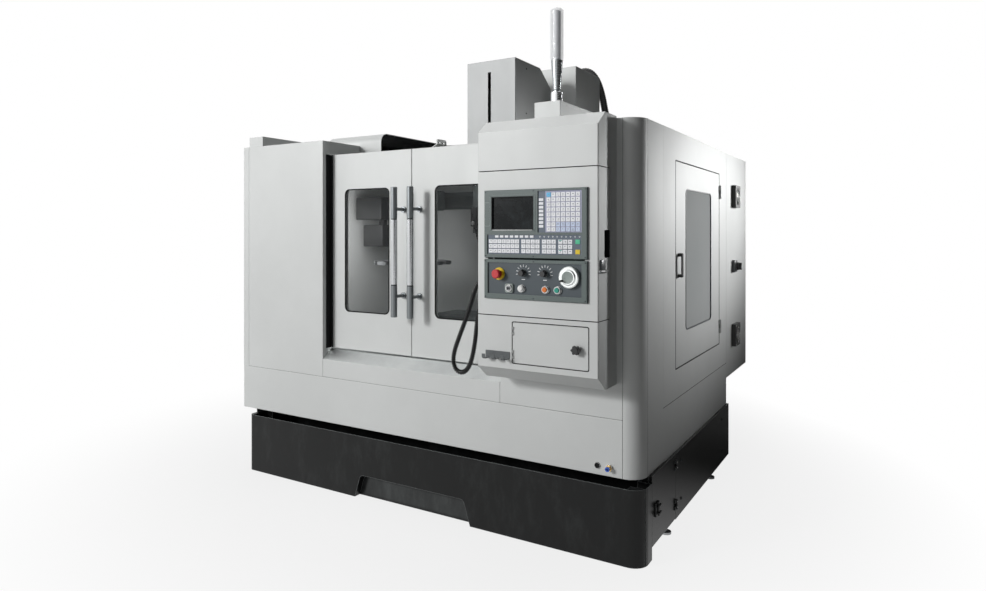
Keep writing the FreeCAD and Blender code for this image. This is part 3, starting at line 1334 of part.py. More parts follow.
def cabinet_fans():
    """Two square axial fans that sit in round holes of the cabinet's side."""
    fans = []
    x, out = s.side_x, s.side_x + s.fan_proud
    y = (back(s.fan_start), back(s.fan_start) + s.fan_wide)
    middle = y[0] + s.fan_wide / 2
    for low in (s.fan_low, s.fan_high):
        centre = low + s.fan_wide / 2
        f = Solid("Fan")
        f.pad("YZ", (x, out), rounded(y, (low, low + s.fan_wide), 6))
        f.pad("YZ", (x - 46, x), circle(middle, centre, 59))
        f.pocket("YZ", (x - 46, out), circle(middle, centre, 54))
        f.pad("YZ", (x - 44, out - 3), circle(middle, centre, 26))
        f.pad("YZ", (out - 8, out - 3), rectangle((middle - 56, middle + 56), (centre - 4, centre + 4)))
        f.pad("YZ", (out - 8, out - 3), rectangle((middle - 4, middle + 4), (centre - 56, centre + 56)))
        fans.append(f.body)
    node("cabinet_fans", group(*fans))


def main_switch():
    h = Solid("Handle")
    h.turn([(0, -30), (6, -30), (6, 24.5), (24, 24.5), (24, 36), (22, 38), (0, 38)])
    h.pad("XY", (37, 52), rounded((-22, 22), (-7, 7), 4))
    node("main_switch_handle", h.at(s.side_x, back(s.switch_y), s.switch_z, "X"))


# ---------------------------------------------------------------------------- light and its duct
def signal_light():
    low = s.cable_duct_top
    high = s.light_top - low
    r, wall = s.light_r, s.tube_wall
    taper = s.collar_high + s.taper_high
    base = Solid("LightBase")
    base.turn([(0, 0), (26.5, 0), (26.5, s.collar_high - 3), (23.5, s.collar_high), (14.5, s.collar_high),
               (14.5, s.collar_high + 6), (17, s.collar_high + 10), (r - 4, taper - 6), (r - 4, taper),
               (17, taper), (17, high - 11), (0, high - 11)])
    node("signal_light_base", base.at(s.light_x, ahead(s.light_y), low))
    tube = Solid("LightTube")
    tube.turn([(17.5, taper), (r - 2, taper), (r, taper + 14), (r, high - 8), (r - 8, high), (0, high),
               (0, high - wall), (r - 9, high - wall), (r - wall, high - 9), (r - wall, taper + wall),
               (17.5, taper + wall)])
    node("signal_light_tube", tube.at(s.light_x, ahead(s.light_y), low))


def light_duct():
    """A closed trunking along the roof that carries the signal light at its front end."""
    d = Solid("Duct")
    t = s.sheet
    left, right = s.cable_duct_left, s.cable_duct_left + s.cable_duct_wide
    front, end = ahead(s.cable_duct_front), back(s.cable_duct_end)
    step = s.console_top
    d.pad("YZ", (left, right), polygon(
        (front, step), (back(0), step), (back(0), s.side_top), (end, s.side_top), (end, s.cable_duct_top),
        (front, s.cable_duct_top)))
    d.pocket("YZ", (left + t, right - t), polygon(
        (front + t, step + t), (back(t), step + t), (back(t), s.side_top), (end - t, s.side_top),
        (end - t, s.cable_duct_top - t), (front + t, s.cable_duct_top - t)))
    d.round(s.bend, "Z", (left, front), (right, front))
    for x in ((left, left + 1), (right - 1, right)):
        d.pocket("YZ", x, rectangle((front + 4, end), (s.cable_duct_top - 14, s.cable_duct_top - 12)))
    node("light_duct", d)


# ---------------------------------------------------------------------------- conduit and hose
CONDUIT_ENDS = (1190, 1075)
CONDUIT_ROUTE = [
    (520, 1190), (488, 1190), (460, 1170), (440, 1136), (424, 1090), (405, 1035), (380, 975), (350, 905),
    (325, 845), (314, 795), (324, 755), (352, 735), (384, 743), (408, 772), (424, 815), (437, 875),
    (444, 925), (449, 970), (456, 1012), (468, 1050), (490, 1075), (520, 1075),
]
HOSE_ROUTE = [
    (60, 2275), (60, 2375), (82, 2478), (146, 2566), (232, 2560), (292, 2480), (326, 2370),
    (346, 2260), (372, 2155), (416, 2083), (460, 2010), (460, 1925),
]


class Route:
    """Straight runs joined by the largest tangent arcs, in an upright plane of constant Y."""

    def __init__(self, points, y, name):
        self.y = y.value
        spots = [Vector(x, self.y, z) for x, z in points]
        self.pieces = []
        at = spots[0]
        radii = []
        for before, corner, after in zip(spots, spots[1:], spots[2:]):
            go, leave = (corner - before).normalize(), (after - corner).normalize()
            half = go.getAngle(leave) / 2
            short = 0.45 * min(corner.distanceToPoint(before), corner.distanceToPoint(after))
            radius = short / math.tan(half)
            radii.append(radius)
            turn = go.cross(leave).normalize()
            start = corner - go * short
            centre = start + turn.cross(go) * radius
            self.pieces.append(("line", at, start, (start - at).Length))
            self.pieces.append(("arc", start, centre, turn, radius, radius * half * 2, corner + leave * short))
            at = corner + leave * short
        self.pieces.append(("line", at, spots[-1], (spots[-1] - at).Length))
        self.length = sum(p[3] if p[0] == "line" else p[5] for p in self.pieces)
        print(f"{name}: radii {', '.join(f'{r:.0f}' for r in radii)} mm, length {self.length:.0f} mm")

    def place(self, along):
        """The point and the direction at a distance along the route."""
        for piece in self.pieces:
            long = piece[3] if piece[0] == "line" else piece[5]
            if along > long + 1e-6:
                along -= long
                continue
            if piece[0] == "line":
                go = (piece[2] - piece[1]).normalize()
                return piece[1] + go * along, go
            _, start, centre, turn, radius, _, _ = piece
            spin = Rotation(turn, math.degrees(along / radius))
            point = centre + spin.multVec(start - centre)
            return point, turn.cross(point - centre).normalize()
        return piece[2], (piece[2] - piece[1]).normalize()

    def circle(self, along, radius):
        point, go = self.place(along)
        across = Vector(0, 1, 0)
        turned = Rotation(across, go.cross(across), go, "ZXY")
        ring = Part.makeCircle(radius)
        ring.Placement = Placement(point, turned)
        return Part.Wire([ring])

    def wire(self):
        edges = []
        for piece in self.pieces:
            if piece[0] == "line":
                edges.append(Part.LineSegment(piece[1], piece[2]).toShape())
            else:
                middle = piece[2] + Rotation(piece[3], math.degrees(piece[5] / piece[4] / 2)).multVec(
                    piece[1] - piece[2])
                edges.append(Part.Arc(piece[1], middle, piece[6]).toShape())
        return Part.Wire(edges)

    def least_gap(self, radius):
        """The smallest space between two stretches that are not neighbours."""
        step = radius / 2
        spots = [self.place(step * i)[0] for i in range(int(self.length / step))]
        skip = int(radius * 6 / step)
        pairs = (a.distanceToPoint(b) for i, a in enumerate(spots) for b in spots[i + skip:])
        return min(pairs) - 2 * radius


def plain(label, shape):
    f = doc.addObject("Part::Feature", label)
    f.Shape = shape
    return node(label, f)


def conduit_loop():
    """The ribbed conduit: a ruled skin through four circles for each rib, and its bore."""
    route = Route(CONDUIT_ROUTE, ahead(s.conduit_y), "conduit")
    root, crest = s.conduit_root.value, s.conduit_r.value
    ends = crest * 2
    count = round((route.length - 2 * ends) / s.conduit_pitch.value)
    pitch = (route.length - 2 * ends) / count
    outer = [route.circle(0, root)]
    inner = [route.circle(0, s.conduit_bore.value)]
    for i in range(count):
        start = ends + pitch * i
        for share, radius in ((0.22, root), (0.34, crest), (0.66, crest), (0.78, root)):
            outer.append(route.circle(start + pitch * share, radius))
        inner.append(route.circle(start + pitch / 2, s.conduit_bore.value))
    outer.append(route.circle(route.length, root))
    inner.append(route.circle(route.length, s.conduit_bore.value))
    solid = Part.makeLoft(outer, True, True).cut(Part.makeLoft(inner, True, True))
    print(f"conduit: {count} ribs, least gap {route.least_gap(crest):.1f} mm")
    plain("conduit_loop", solid)


def rear_hose():
    route = Route(HOSE_ROUTE, back(s.hose_y), "rear hose")
    hose = route.wire().makePipeShell([route.circle(0, s.hose_r.value)], True, False)
    section = math.pi * s.hose_r.value ** 2
    print(f"rear hose: volume {hose.Volume:.0f}, section by length {section * route.length:.0f}")
    plain("rear_hose", hose)


def panel_fittings():
    """Glands of the conduit and of the rear hose with its bracket."""
    pieces = []
    x = s.console_left
    for z in CONDUIT_ENDS:
        g = Solid("Gland")
        g.turn([(s.conduit_bore, 0), (15, 0), (15, 9), (13, 9), (13, s.gland_long - 9), (15, s.gland_long - 9),
                (15, s.gland_long), (s.conduit_bore, s.gland_long)])
        pieces.append(g.at(x, ahead(s.conduit_y), z, "-X"))
    y = back(s.hose_y)
    (top_x, top_z), (low_x, low_z) = HOSE_ROUTE[0], HOSE_ROUTE[-1]
    for gx, gz, bottom in ((top_x, top_z, top_z - 35), (low_x, low_z, s.side_top)):
        g = Solid("HoseGland")
        high = gz - size(bottom)
        g.turn([(s.hose_bore, 0), (30, 0), (30, 12), (27, 12), (27, high - 4), (30, high - 4), (30, high),
                (s.hose_bore, high)])
        pieces.append(g.at(gx, y, bottom))
    rear = back(s.crown_rear)
    shelf = top_z - 35
    bracket = fuse(box((top_x - 45, top_x + 45), (rear, y + 34), (shelf - 6, shelf)),
                   box((top_x - 45, top_x + 45), (rear, rear + 5), (shelf - 30, shelf)))
    hole = cylinder(s.hose_bore, (top_x, y, shelf - 7), 8)
    # the cable grommet and the air inlet at the foot of the corner
    grommet = Solid("Grommet")
    grommet.turn([(7, 0), (13, 0), (13, 4), (7, 4)])
    pieces.append(grommet.at(s.grommet_x, back(0), s.grommet_z, "-Y"))
    inlet = Solid("Inlet")
    inlet.turn([(s.inlet_bore, 2), (13, 2), (13, 0), (14, 0), (14, 9), (9.5, 9), (9.5, 26), (s.inlet_bore, 26)])
    pieces.append(inlet.at(s.inlet_x, back(0), s.inlet_z, "-Y"))
    node("panel_fittings", group(*pieces, cut(bracket, hole)))


# ---------------------------------------------------------------------------- machine inside
RAIL_TOP = s.bed_top + s.rail
SADDLE_LOW = RAIL_TOP + s.carriage
SADDLE_TOP = SADDLE_LOW + s.saddle_thick
TABLE_LOW = SADDLE_TOP + s.rail + s.carriage
FLANGE = 20


def bed_casting():
    b = Solid("Bed")
    half = s.bed_half
    y = (back(s.bed_front), back(s.bed_rear))
    b.pad("XY", (s.bed_low, s.bed_top), rectangle((-half, half), y))
    b.pocket("XY", (s.bed_low, s.bed_top - 120), rectangle((-half + 140, half - 140), (y[0] + 60, y[1] - 60)))
    b.pocket("XY", (s.bed_top - 75, s.bed_top), rectangle((-62, 62), (y[0] + 30, back(s.column_front))))
    b.bevel(25, "Z", (-half, y[0]), (half, y[0]))
    node("bed_casting", b)


def column_casting():
    c = Solid("Column")
    half = s.column_half
    y = (back(s.column_front), back(s.column_rear))
    c.pad("XY", (s.bed_top, s.column_top - FLANGE), rectangle((-half, half), y))
    c.pad("XY", (s.bed_top, s.bed_top + 90), rectangle((-half - 60, half + 60), (y[0], y[1] + 60)))
    c.pad("XY", (s.column_top - FLANGE, s.column_top),
          rectangle((-s.crown_half, s.crown_half), (back(s.crown_front), back(s.crown_rear))))
    c.pocket("XY", (s.zrail_low - 60, s.column_top), rectangle((-70, 70), (y[0] - 45, y[0] + 110)))
    c.pocket("XY", (s.bed_top + 60, s.column_top), rectangle((-half + 50, half - 50), (y[0] + 150, y[1] - 40)))
    node("column_casting", c)


def axis_drives():
    """Rails, ball screws and motors of the Y and Z axes."""
    pieces = []
    rail = s.rail / 2
    y0, y1 = back(s.bed_front) + 190, back(s.column_front) - 15
    for side in (1, -1):
        x = side * s.yrail_x
        pieces.append(box((x - rail, x + rail), (y0, y1), (s.bed_top, RAIL_TOP)))
        x = side * s.zrail_x
        pieces.append(box((x - rail, x + rail), (back(s.column_front) - s.rail, back(s.column_front)),
                          (s.zrail_low, s.column_top - FLANGE)))
    z = s.bed_top - 20
    front = back(s.bed_front) + 50
    screw = [box((-48, 48), (front, front + 130), (z - 48, z + 48)),
             box((-40, 40), (front + 129, front + 160), (s.bed_top - 75, z + 40)),
             cylinder(16, (0, front + 159, z), y1 - 30 - front - 158, "Y"),
             box((-40, 40), (y1 - 30, y1), (s.bed_top - 75, z + 40))]
    y = back(s.column_front) + 40
    top = s.column_top
    screw_z = [box((-80, 80), (back(s.crown_front) + 20, y + 90), (top, top + 15)),
               box((-60, 60), (y - 60, y + 60), (top + 14, top + 200)),
               cylinder(20, (0, y, s.zrail_low), top - s.zrail_low + 5),
               box((-69, 69), (back(s.column_front), y + 69), (s.zrail_low - 60, s.zrail_low))]
    node("axis_drives", group(*pieces, fuse(*screw), fuse(*screw_z)))


def blocks(spans, groove):
    """A guide block with the groove for its rail."""
    return cut(box(*spans), box(*groove))


def saddle():
    gap, rail, wide = s.rail_gap, s.rail / 2, 35
    pieces = [box((-s.saddle_half, s.saddle_half),
                  (back(s.spindle_y) - s.saddle_deep, back(s.spindle_y) + s.saddle_deep),
                  (SADDLE_LOW, SADDLE_TOP))]
    for side in (1, -1):
        x = side * s.yrail_x
        for end in (1, -1):
            y = back(s.spindle_y) + end * (s.saddle_deep - 70)
            pieces.append(blocks(
                ((x - wide, x + wide), (y - 50, y + 50), (s.bed_top + 3, SADDLE_LOW + 1)),
                ((x - rail - gap, x + rail + gap), (y - 51, y + 51), (s.bed_top, RAIL_TOP + gap))))
        y = back(s.spindle_y) + side * s.xrail_y
        pieces.append(box((-s.saddle_half, s.saddle_half), (y - rail, y + rail), (SADDLE_TOP - 1, SADDLE_TOP + s.rail)))
    y, z = back(s.spindle_y), s.bed_top - 20
    nut = cut(box((-45, 45), (y - 60, y + 60), (z - 40, SADDLE_LOW + 1)),
              cylinder(16 + s.play, (0, y - 61, z), 122, "Y"))
    z = SADDLE_TOP + 28
    end = s.saddle_half
    screw = [cylinder(12, (-end + 20, y, z), end * 2 - 20, "X")]
    for a, b in ((-end, -end + 30), (end - 30, end)):
        screw.append(box((a, b), (y - 26, y + 26), (SADDLE_TOP - 1, z + 24)))
    screw.append(box((end - 1, end + 130), (y - 26, y + 26), (z - 26, z + 24)))
    node("saddle", fuse(*pieces, nut, *screw))


def work_table():
    t = Solid("Table")
    y = (back(s.spindle_y) - s.table_deep, back(s.spindle_y) + s.table_deep)
    x = (-s.table_half, s.table_half)
    top = TABLE_LOW + s.table_thick
    t.pad("XY", (TABLE_LOW, top), rectangle(x, y))
    for i in (-1, 0, 1):
        middle, half = back(s.spindle_y) + i * s.slot_pitch, s.slot_wide / 2
        t.pocket("YZ", x, polygon(
            (middle - half, top), (middle - half, top - 20), (middle - 15, top - 20), (middle - 15, top - 34),
            (middle + 15, top - 34), (middle + 15, top - 20), (middle + half, top - 20), (middle + half, top)))
    gap, rail, wide = s.rail_gap, s.rail / 2, 35
    under = []
    for side in (1, -1):
        y0 = back(s.spindle_y) + side * s.xrail_y
        for end in (1, -1):
            x0 = size(end * 180)
            under.append(blocks(
                ((x0 - 45, x0 + 45), (y0 - wide, y0 + wide), (SADDLE_TOP + 3, TABLE_LOW + 1)),
                ((x0 - 46, x0 + 46), (y0 - rail - gap, y0 + rail + gap), (SADDLE_TOP, SADDLE_TOP + s.rail + gap))))
    y0, z = back(s.spindle_y), SADDLE_TOP + 28
    under.append(cut(box((-50, 50), (y0 - 30, y0 + 30), (SADDLE_TOP + 3, TABLE_LOW + 1)),
                     cylinder(12 + s.play, (-51, y0, z), 102, "X")))
    node("work_table", fuse(t.body, *under))


def headstock():
    """The spindle head with its guide blocks, nut, spindle housing and spindle motor."""
    y0 = back(s.spindle_y)
    rear = back(s.column_front) - s.rail - s.carriage
    h = Solid("Head")
    half = s.head_half
    h.pad("XY", (s.head_low, s.head_top), rectangle((-half, half), (back(s.head_front), rear)))
    h.pad("XY", (s.nose_z + 15, s.head_low), circle(0, y0, s.quill_r))
    h.pad("XY", (s.head_top, s.motor_low), rectangle((-110, 110), (y0 - 90, y0 + 110)))
    h.pad("XY", (s.motor_low, s.motor_low + s.motor_high), rounded((-85, 85), (y0 - 85, y0 + 85), 25))
    h.pocket("XY", (s.nose_z + 15, s.head_low + 160), circle(0, y0, 50 + s.play))
    gap, rail, wide = s.rail_gap, s.rail / 2, 35
    under = []
    front = back(s.column_front)
    for side in (1, -1):
        x = side * s.zrail_x
        for low in (s.head_low + 20, s.head_top - 130):
            under.append(blocks(
                ((x - wide, x + wide), (rear - 1, front - 3), (low, low + 100)),
                ((x - rail - gap, x + rail + gap), (front - s.rail - gap, front), (low - 1, low + 101))))
    y = front + 40
    under.append(cut(box((-50, 50), (rear - 1, y + 45), (s.head_low + 200, s.head_low + 300)),
                     cylinder(20 + s.play, (0, y, s.head_low + 199), 102)))
    node("headstock", fuse(h.body, *under))


def spindle():
    """The spindle: a steep taper bore, the nose with two keys and the shaft."""
    p = Solid("Spindle")
    p.turn([(22.2, 0), (44, 0), (44, 14), (50, 16), (50, 170), (40, 172), (0, 172), (0, 110), (9, 110),
            (9, 68), (12.4, 67.2)])
    p.pad("XY", (-6, 1), rectangle((26, 42), (-8, 8)), rectangle((-42, -26), (-8, 8)))
    node("spindle", p.at(0, back(s.spindle_y), s.nose_z))


def head_cover():
    """The folded cover of the spindle motor, slotted in front and open to the rear below."""
    c = Solid("HeadCover")
    t = s.sheet
    x = (s.cover_left, s.cover_left + s.cover_wide)
    front, mid, rear = back(s.cover_front), back(s.cover_mid), back(s.cover_back)
    low, top, slope = s.cover_low, s.cover_top, s.cover_slope
    c.pad("YZ", x, polygon((front, low), (rear, low), (rear, slope), (mid, top), (front, top)))
    c.pocket("YZ", (x[0] + t, x[1] - t), polygon(
        (front + t, low + t), (rear - t, low + t), (rear - t, slope - 1.5), (mid - 0.8, top - t), (front + t, top - t)))
    half = s.head_half
    c.pocket("XY", (low, low + t), rectangle((-half, half), (back(s.head_front), rear - t)))
    c.pocket("XZ", (rear - t, rear), rectangle((-half - 2, half + 2), (low, s.head_top + 4)))
    c.pocket("XZ", (front, front + t), rectangle((-22, 0), (s.slot_low, s.slot_top)))
    c.round(s.bend, "Z", (x[0], front), (x[1], front))
    c.round(s.bend, "X", (front, top))
    node("head_cover", c)


def column_top_cover():
    c = Solid("Crown")
    t = s.sheet
    x = (-s.crown_half, s.crown_half)
    y = (back(s.crown_front), back(s.crown_rear))
    c.pad("XY", (s.column_top, s.crown_top), rectangle(x, y))
    c.pocket("XY", (s.column_top, s.crown_top - t), rectangle((x[0] + t, x[1] - t), (y[0] + t, y[1] - t)))
    c.round(s.bend, "Z", (x[0], y[0]), (x[1], y[0]), (x[1], y[1]), (x[0], y[1]))
    c.round(s.bend, "X", (y[0], s.crown_top), (y[1], s.crown_top))
    node("column_top_cover", c)


# ---------------------------------------------------------------------------- tool magazine
MAG_RAIL = 20
CARRIAGE = (s.mag_x - 310, s.mag_x + 30)


def magazine_frame():
    """The beam on the column that carries the magazine, with its two rails."""
    front = back(s.beam_front)
    left = s.left_wall - s.half_width + 50
    joint = -s.column_half - 30
    beam = box((left, joint + 1), (front, front + 80), (s.beam_low, s.beam_high))
    plate = box((joint, -s.column_half), (front, back(s.column_front) + 160),
                (s.beam_low - 10, s.beam_high + 10))
    rails = [box((left, joint - 15), (front - MAG_RAIL, front + 1), (z - 10, z + 10))
             for z in (s.beam_low + 25, s.beam_high - 25)]
    node("magazine_frame", fuse(beam, plate, *rails))


def magazine_carriage():
    front = back(s.beam_front) - MAG_RAIL - 3
    gap = s.rail_gap
    plate = box(CARRIAGE, (front - 34, front), (s.beam_low - 10, s.beam_high + 10))
    guides = []
    for a, b in ((CARRIAGE[0] + 10, CARRIAGE[0] + 90), (CARRIAGE[0] + 130, CARRIAGE[0] + 190)):
        for z in (s.beam_low + 25, s.beam_high - 25):
            guides.append(blocks(
                ((a, b), (front - 1, front + MAG_RAIL), (z - 22, z + 22)),
                ((a - 1, b + 1), (front + 3 - gap, front + MAG_RAIL + 1), (z - 10 - gap, z + 10 + gap))))
    x, y = s.mag_x, back(s.spindle_y)
    arm = box((x - 60, x + 60), (y, front - 33), (s.beam_low, s.beam_high))
    housing = cylinder(60, (x, y, s.mag_low + 120), s.beam_high - s.mag_low - 120)
    motor = cylinder(45, (x, y, s.beam_high - 1), 131)
    bore = cylinder(25 + s.play, (x, y, s.mag_low + 119), 222)
    node("magazine_carriage", cut(fuse(plate, *guides, arm, housing, motor), bore))


def tool_carousel():
    """The disc with its fork pockets, on the shaft that hangs from the housing."""
    c = Solid("Carousel")
    c.turn([(0, 0), (s.mag_r, 0), (s.mag_r, s.mag_thick), (70, s.mag_thick), (70, s.mag_thick + 40),
            (25, s.mag_thick + 40), (25, 330), (0, 330)])
    c.pocket("XY", (0, s.mag_thick), circle(s.mag_pitch, 0, s.pocket_r))
    c.around(c.last, s.pockets)
    c.pocket("XY", (0, s.mag_thick), rectangle((s.mag_pitch + 10, s.mag_r + 5), (-22, 22)))
    c.around(c.last, s.pockets)
    node("tool_carousel", c.at(s.mag_x, back(s.spindle_y), s.mag_low))




# ---------------------------------------------------------------------------- build and check
coolant_tank()
base_skirt()
base_hatch()
levelling_feet()
lower_front_panel()
right_front_panel()
left_front_cover()
door_surround()
door_sill()
side_panels()
rear_panels()
magazine_hood()
chip_pans()
sliding_door("left", s.cover_right - s.door_overlap, s.door_seam - 1.5, s.window_left, s.grip_left)
sliding_door("right", s.door_seam + 1.5, s.opening_right + s.door_overlap, s.window_right, s.grip_right)
side_door()
console_case()
console_shell()
console_flap()
pendant_hooks()
control_frames()
screen()
keypad()
controls()
electrical_cabinet()
cabinet_door()
cabinet_fans()
main_switch()
signal_light()
light_duct()
conduit_loop()
rear_hose()
panel_fittings()
bed_casting()
column_casting()
axis_drives()
saddle()
work_table()
headstock()
spindle()
head_cover()
column_top_cover()
magazine_frame()
magazine_carriage()
tool_carousel()
doc.recompute()
for thing in doc.Objects:
    if "Invalid" in thing.State or "Error" in thing.State:
        raise ValueError(f"{thing.Name} failed: {thing.State}")
os.makedirs("parts", exist_ok=True)
for thing in nodes:
    shape = thing.Shape
    if shape.isNull() or not shape.isValid():
        raise ValueError(f"{thing.Label} has no valid shape")
    shape.exportStep(f"parts/{thing.Label}.step")
    print(f"{thing.Label}: {len(shape.Solids)} solids, {shape.Volume / 1e6:.2f} dm3")
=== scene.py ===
import math
import random

import bmesh
import bpy
from mathutils import Matrix, Vector


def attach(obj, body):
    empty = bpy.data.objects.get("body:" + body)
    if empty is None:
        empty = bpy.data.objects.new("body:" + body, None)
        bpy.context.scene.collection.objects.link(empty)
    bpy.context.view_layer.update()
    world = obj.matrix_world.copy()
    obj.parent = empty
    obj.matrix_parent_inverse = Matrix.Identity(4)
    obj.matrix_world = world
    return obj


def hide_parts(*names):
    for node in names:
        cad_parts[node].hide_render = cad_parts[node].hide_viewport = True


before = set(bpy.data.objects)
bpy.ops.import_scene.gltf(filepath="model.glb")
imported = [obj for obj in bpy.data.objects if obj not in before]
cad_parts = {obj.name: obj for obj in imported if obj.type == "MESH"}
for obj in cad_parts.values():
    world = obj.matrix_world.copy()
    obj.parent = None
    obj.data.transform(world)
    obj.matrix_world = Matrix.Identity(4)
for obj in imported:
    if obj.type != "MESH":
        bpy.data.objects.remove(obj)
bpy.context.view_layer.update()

# A vertical machining centre: its finishes, and the trim that its sheet metal and panels carry.
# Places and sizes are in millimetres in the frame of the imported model, and are made metres where
# a mesh is made. Finishes, lamps and the camera take metres.
MM = 0.001
FRONT = -955            # plane of the front panels
SIDE = 1229             # outside of the right side panels
SKIRT = 1243            # outside of the base skirt and of its hatch
CONSOLE = -1159         # front of the console
PLATE = -1165           # face of the sunk plates that carry the keys and switches
FRAMES = -1171          # face of the control frames round those plates
FANS = [(FRONT + 1798, 753), (FRONT + 1798, 1632)]      # middles of the cabinet's fans, y and z
TO_FRONT, TO_RIGHT, TO_LEFT = (0, -1, 0), (1, 0, 0), (-1, 0, 0)


# ---------------------------------------------------------------------------- camera
def aim_camera():
    view = bpy.data.cameras.new("front_camera")
    view.sensor_width = 36
    view.lens = 25.12
    view.shift_y = -0.0634
    camera = bpy.data.objects.new("front_camera", view)
    camera.location = (2.176, -3.734, 1.4)
    camera.rotation_euler = (math.radians(90), 0, math.radians(31))
    bpy.context.scene.collection.objects.link(camera)
    bpy.context.scene.camera = camera


# ---------------------------------------------------------------------------- shader maths
class Value:
    """A node's output that takes part in sums."""

    def __init__(self, graph, socket):
        self.graph = graph
        self.socket = socket

    def sum(self, operation, *terms):
        return self.graph.node("ShaderNodeMath", {"operation": operation}, dict(enumerate(terms)))

    def __add__(self, other):
        return self.sum("ADD", self, other)

    def __radd__(self, other):
        return self.sum("ADD", other, self)

    def __sub__(self, other):
        return self.sum("SUBTRACT", self, other)

    def __rsub__(self, other):
        return self.sum("SUBTRACT", other, self)

    def __mul__(self, other):
        return self.sum("MULTIPLY", self, other)

    def __rmul__(self, other):
        return self.sum("MULTIPLY", other, self)

    def ramp(self, low, high, smooth=True):
        """0 below low and 1 above high."""
        kind = "SMOOTHSTEP" if smooth else "LINEAR"
        return self.graph.node("ShaderNodeMapRange", {"interpolation_type": kind},
                               {"Value": self, "From Min": low, "From Max": high})

    def within(self, low, high, soft):
        """1 between low and high, with edges that are soft wide to each side."""
        return self.ramp(low - soft, low + soft) * (1 - self.ramp(high - soft, high + soft))


def seen(red, green, blue):
    """The colour that a screen shows as these numbers, from 0 to 255."""
    shares = [number / 255 for number in (red, green, blue)]
    return (*(((c + 0.055) / 1.055) ** 2.4 if c > 0.04 else c / 12.92 for c in shares), 1)


class Graph:
    """A node tree that is built from kinds of node, their settings and what feeds them."""

    def __init__(self, tree):
        self.tree = tree

    def node(self, kind, settings=(), sockets=(), out=0):
        """Adds a node, settles it, and feeds or sets its sockets."""
        made = self.tree.nodes.new(kind)
        for name, value in dict(settings).items():
            setattr(made, name, value)
        for name, value in dict(sockets).items():
            if isinstance(value, Value):
                self.tree.links.new(value.socket, made.inputs[name])
            else:
                made.inputs[name].default_value = value
        return Value(self, made.outputs[out])

    def rays(self):
        """1 on what the eye sees straight, on what is mirrored and on what is seen through glass."""
        return [self.node("ShaderNodeLightPath", out=f"Is {kind} Ray")
                for kind in ("Camera", "Glossy", "Transmission")]


class Finish(Graph):
    """A surface finish: one main shader and the nodes that vary it."""

    def __init__(self, name, **fixed):
        self.name = name
        self.material = bpy.data.materials.new(name)
        self.material.use_nodes = True
        super().__init__(self.material.node_tree)
        self.shader = self.tree.nodes["Principled BSDF"]
        for socket, value in fixed.items():
            self.shader.inputs[socket.replace("_", " ")].default_value = value

    def place(self, stretch=(1, 1, 1)):
        """Where a point is on the piece, in metres, with its axes stretched."""
        here = self.node("ShaderNodeTexCoord", out="Object")
        return self.node("ShaderNodeMapping", {}, {"Vector": here, "Scale": stretch})

    def axis(self, name):
        """How far along X, Y or Z a point is, in metres."""
        here = self.node("ShaderNodeTexCoord", out="Object")
        return self.node("ShaderNodeSeparateXYZ", {}, {"Vector": here}, out=name)

    def noise(self, scale, detail=3, rough=0.5, stretch=(1, 1, 1)):
        return self.node("ShaderNodeTexNoise", {}, {"Vector": self.place(stretch), "Scale": scale,
                                                    "Detail": detail, "Roughness": rough})

    def blend(self, share, first, second):
        """One colour turning into another as share goes from 0 to 1."""
        return self.node("ShaderNodeMix", {"data_type": "RGBA"}, {0: share, 6: first, 7: second}, out=2)

    def edges(self, radius):
        """1 on the sharp edges of the piece, within radius metres."""
        soft = self.node("ShaderNodeBevel", {"samples": 4}, {"Radius": radius})
        flat = self.node("ShaderNodeNewGeometry", out="Normal")
        same = self.node("ShaderNodeVectorMath", {"operation": "DOT_PRODUCT"}, {0: soft, 1: flat},
                         out="Value")
        return (1 - same).ramp(0.01, 0.12)

    def bump(self, height, depth):
        """Lets height, from 0 to 1, stand depth metres proud."""
        self.feed("Normal", self.node("ShaderNodeBump", {}, {"Height": height, "Distance": depth}))

    def feed(self, socket, value):
        self.tree.links.new(value.socket, self.shader.inputs[socket])


# ---------------------------------------------------------------------------- finishes
def sheet_metal_paint(name, colour, dark):
    """Silver-grey coat: fine orange peel, faint clouds where it was wiped, and a painted highlight along
    its edges.
    """
    paint = Finish(name, Metallic=0.12, Specular_IOR_Level=0.4)
    clouds = paint.noise(1.7, 4, 0.6)
    smears = paint.noise(6, 5, 0.65, (1, 1, 0.25))
    peel = paint.noise(420, 2, 0.5)
    tone = paint.blend(clouds.ramp(0.3, 0.75), colour, dark)
    # The sharp edges are lightened towards a pale grey: a painted highlight.
    paint.feed("Base Color", paint.blend(paint.edges(0.0025) * 0.5, tone, seen(236, 236, 234)))
    paint.feed("Roughness", 0.42 + smears * 0.14 + peel * 0.04)
    paint.bump(peel, 0.00008)
    return paint


def black_paint():
    """Gloss black of the tank and skirt with faint dust, lighter in the toe recess as a painted reflection
    and lighter along its edges as a painted highlight.
    """
    black = Finish("black_paint", Specular_IOR_Level=0.2, Coat_Weight=0.06, Coat_Roughness=0.08)
    dust = black.noise(9, 6, 0.7, (1, 1, 0.4))
    peel = black.noise(160, 2)
    # The toe recess is lightened with the dust noise as a painted reflection, and the edges are lightened
    # as a painted highlight.
    toe_painted_reflection = black.axis("Z").within(0.01, 0.1, 0.01) * black.axis("Y").within(-0.945, -0.93, 0.004)
    dust_and_painted_light = dust.ramp(0.45, 0.8) * 0.1 + toe_painted_reflection * dust * 0.4 + black.edges(0.005)
    # The pale grey stands for dust where the dust noise is high, and for painted light in the toe recess
    # and along the edges.
    black.feed("Base Color", black.blend(dust_and_painted_light.ramp(0, 1, smooth=False), seen(18, 19, 19),
                                         seen(112, 116, 116)))
    black.feed("Roughness", 0.26 + dust * 0.06)
    black.bump(peel, 0.00012)
    return black


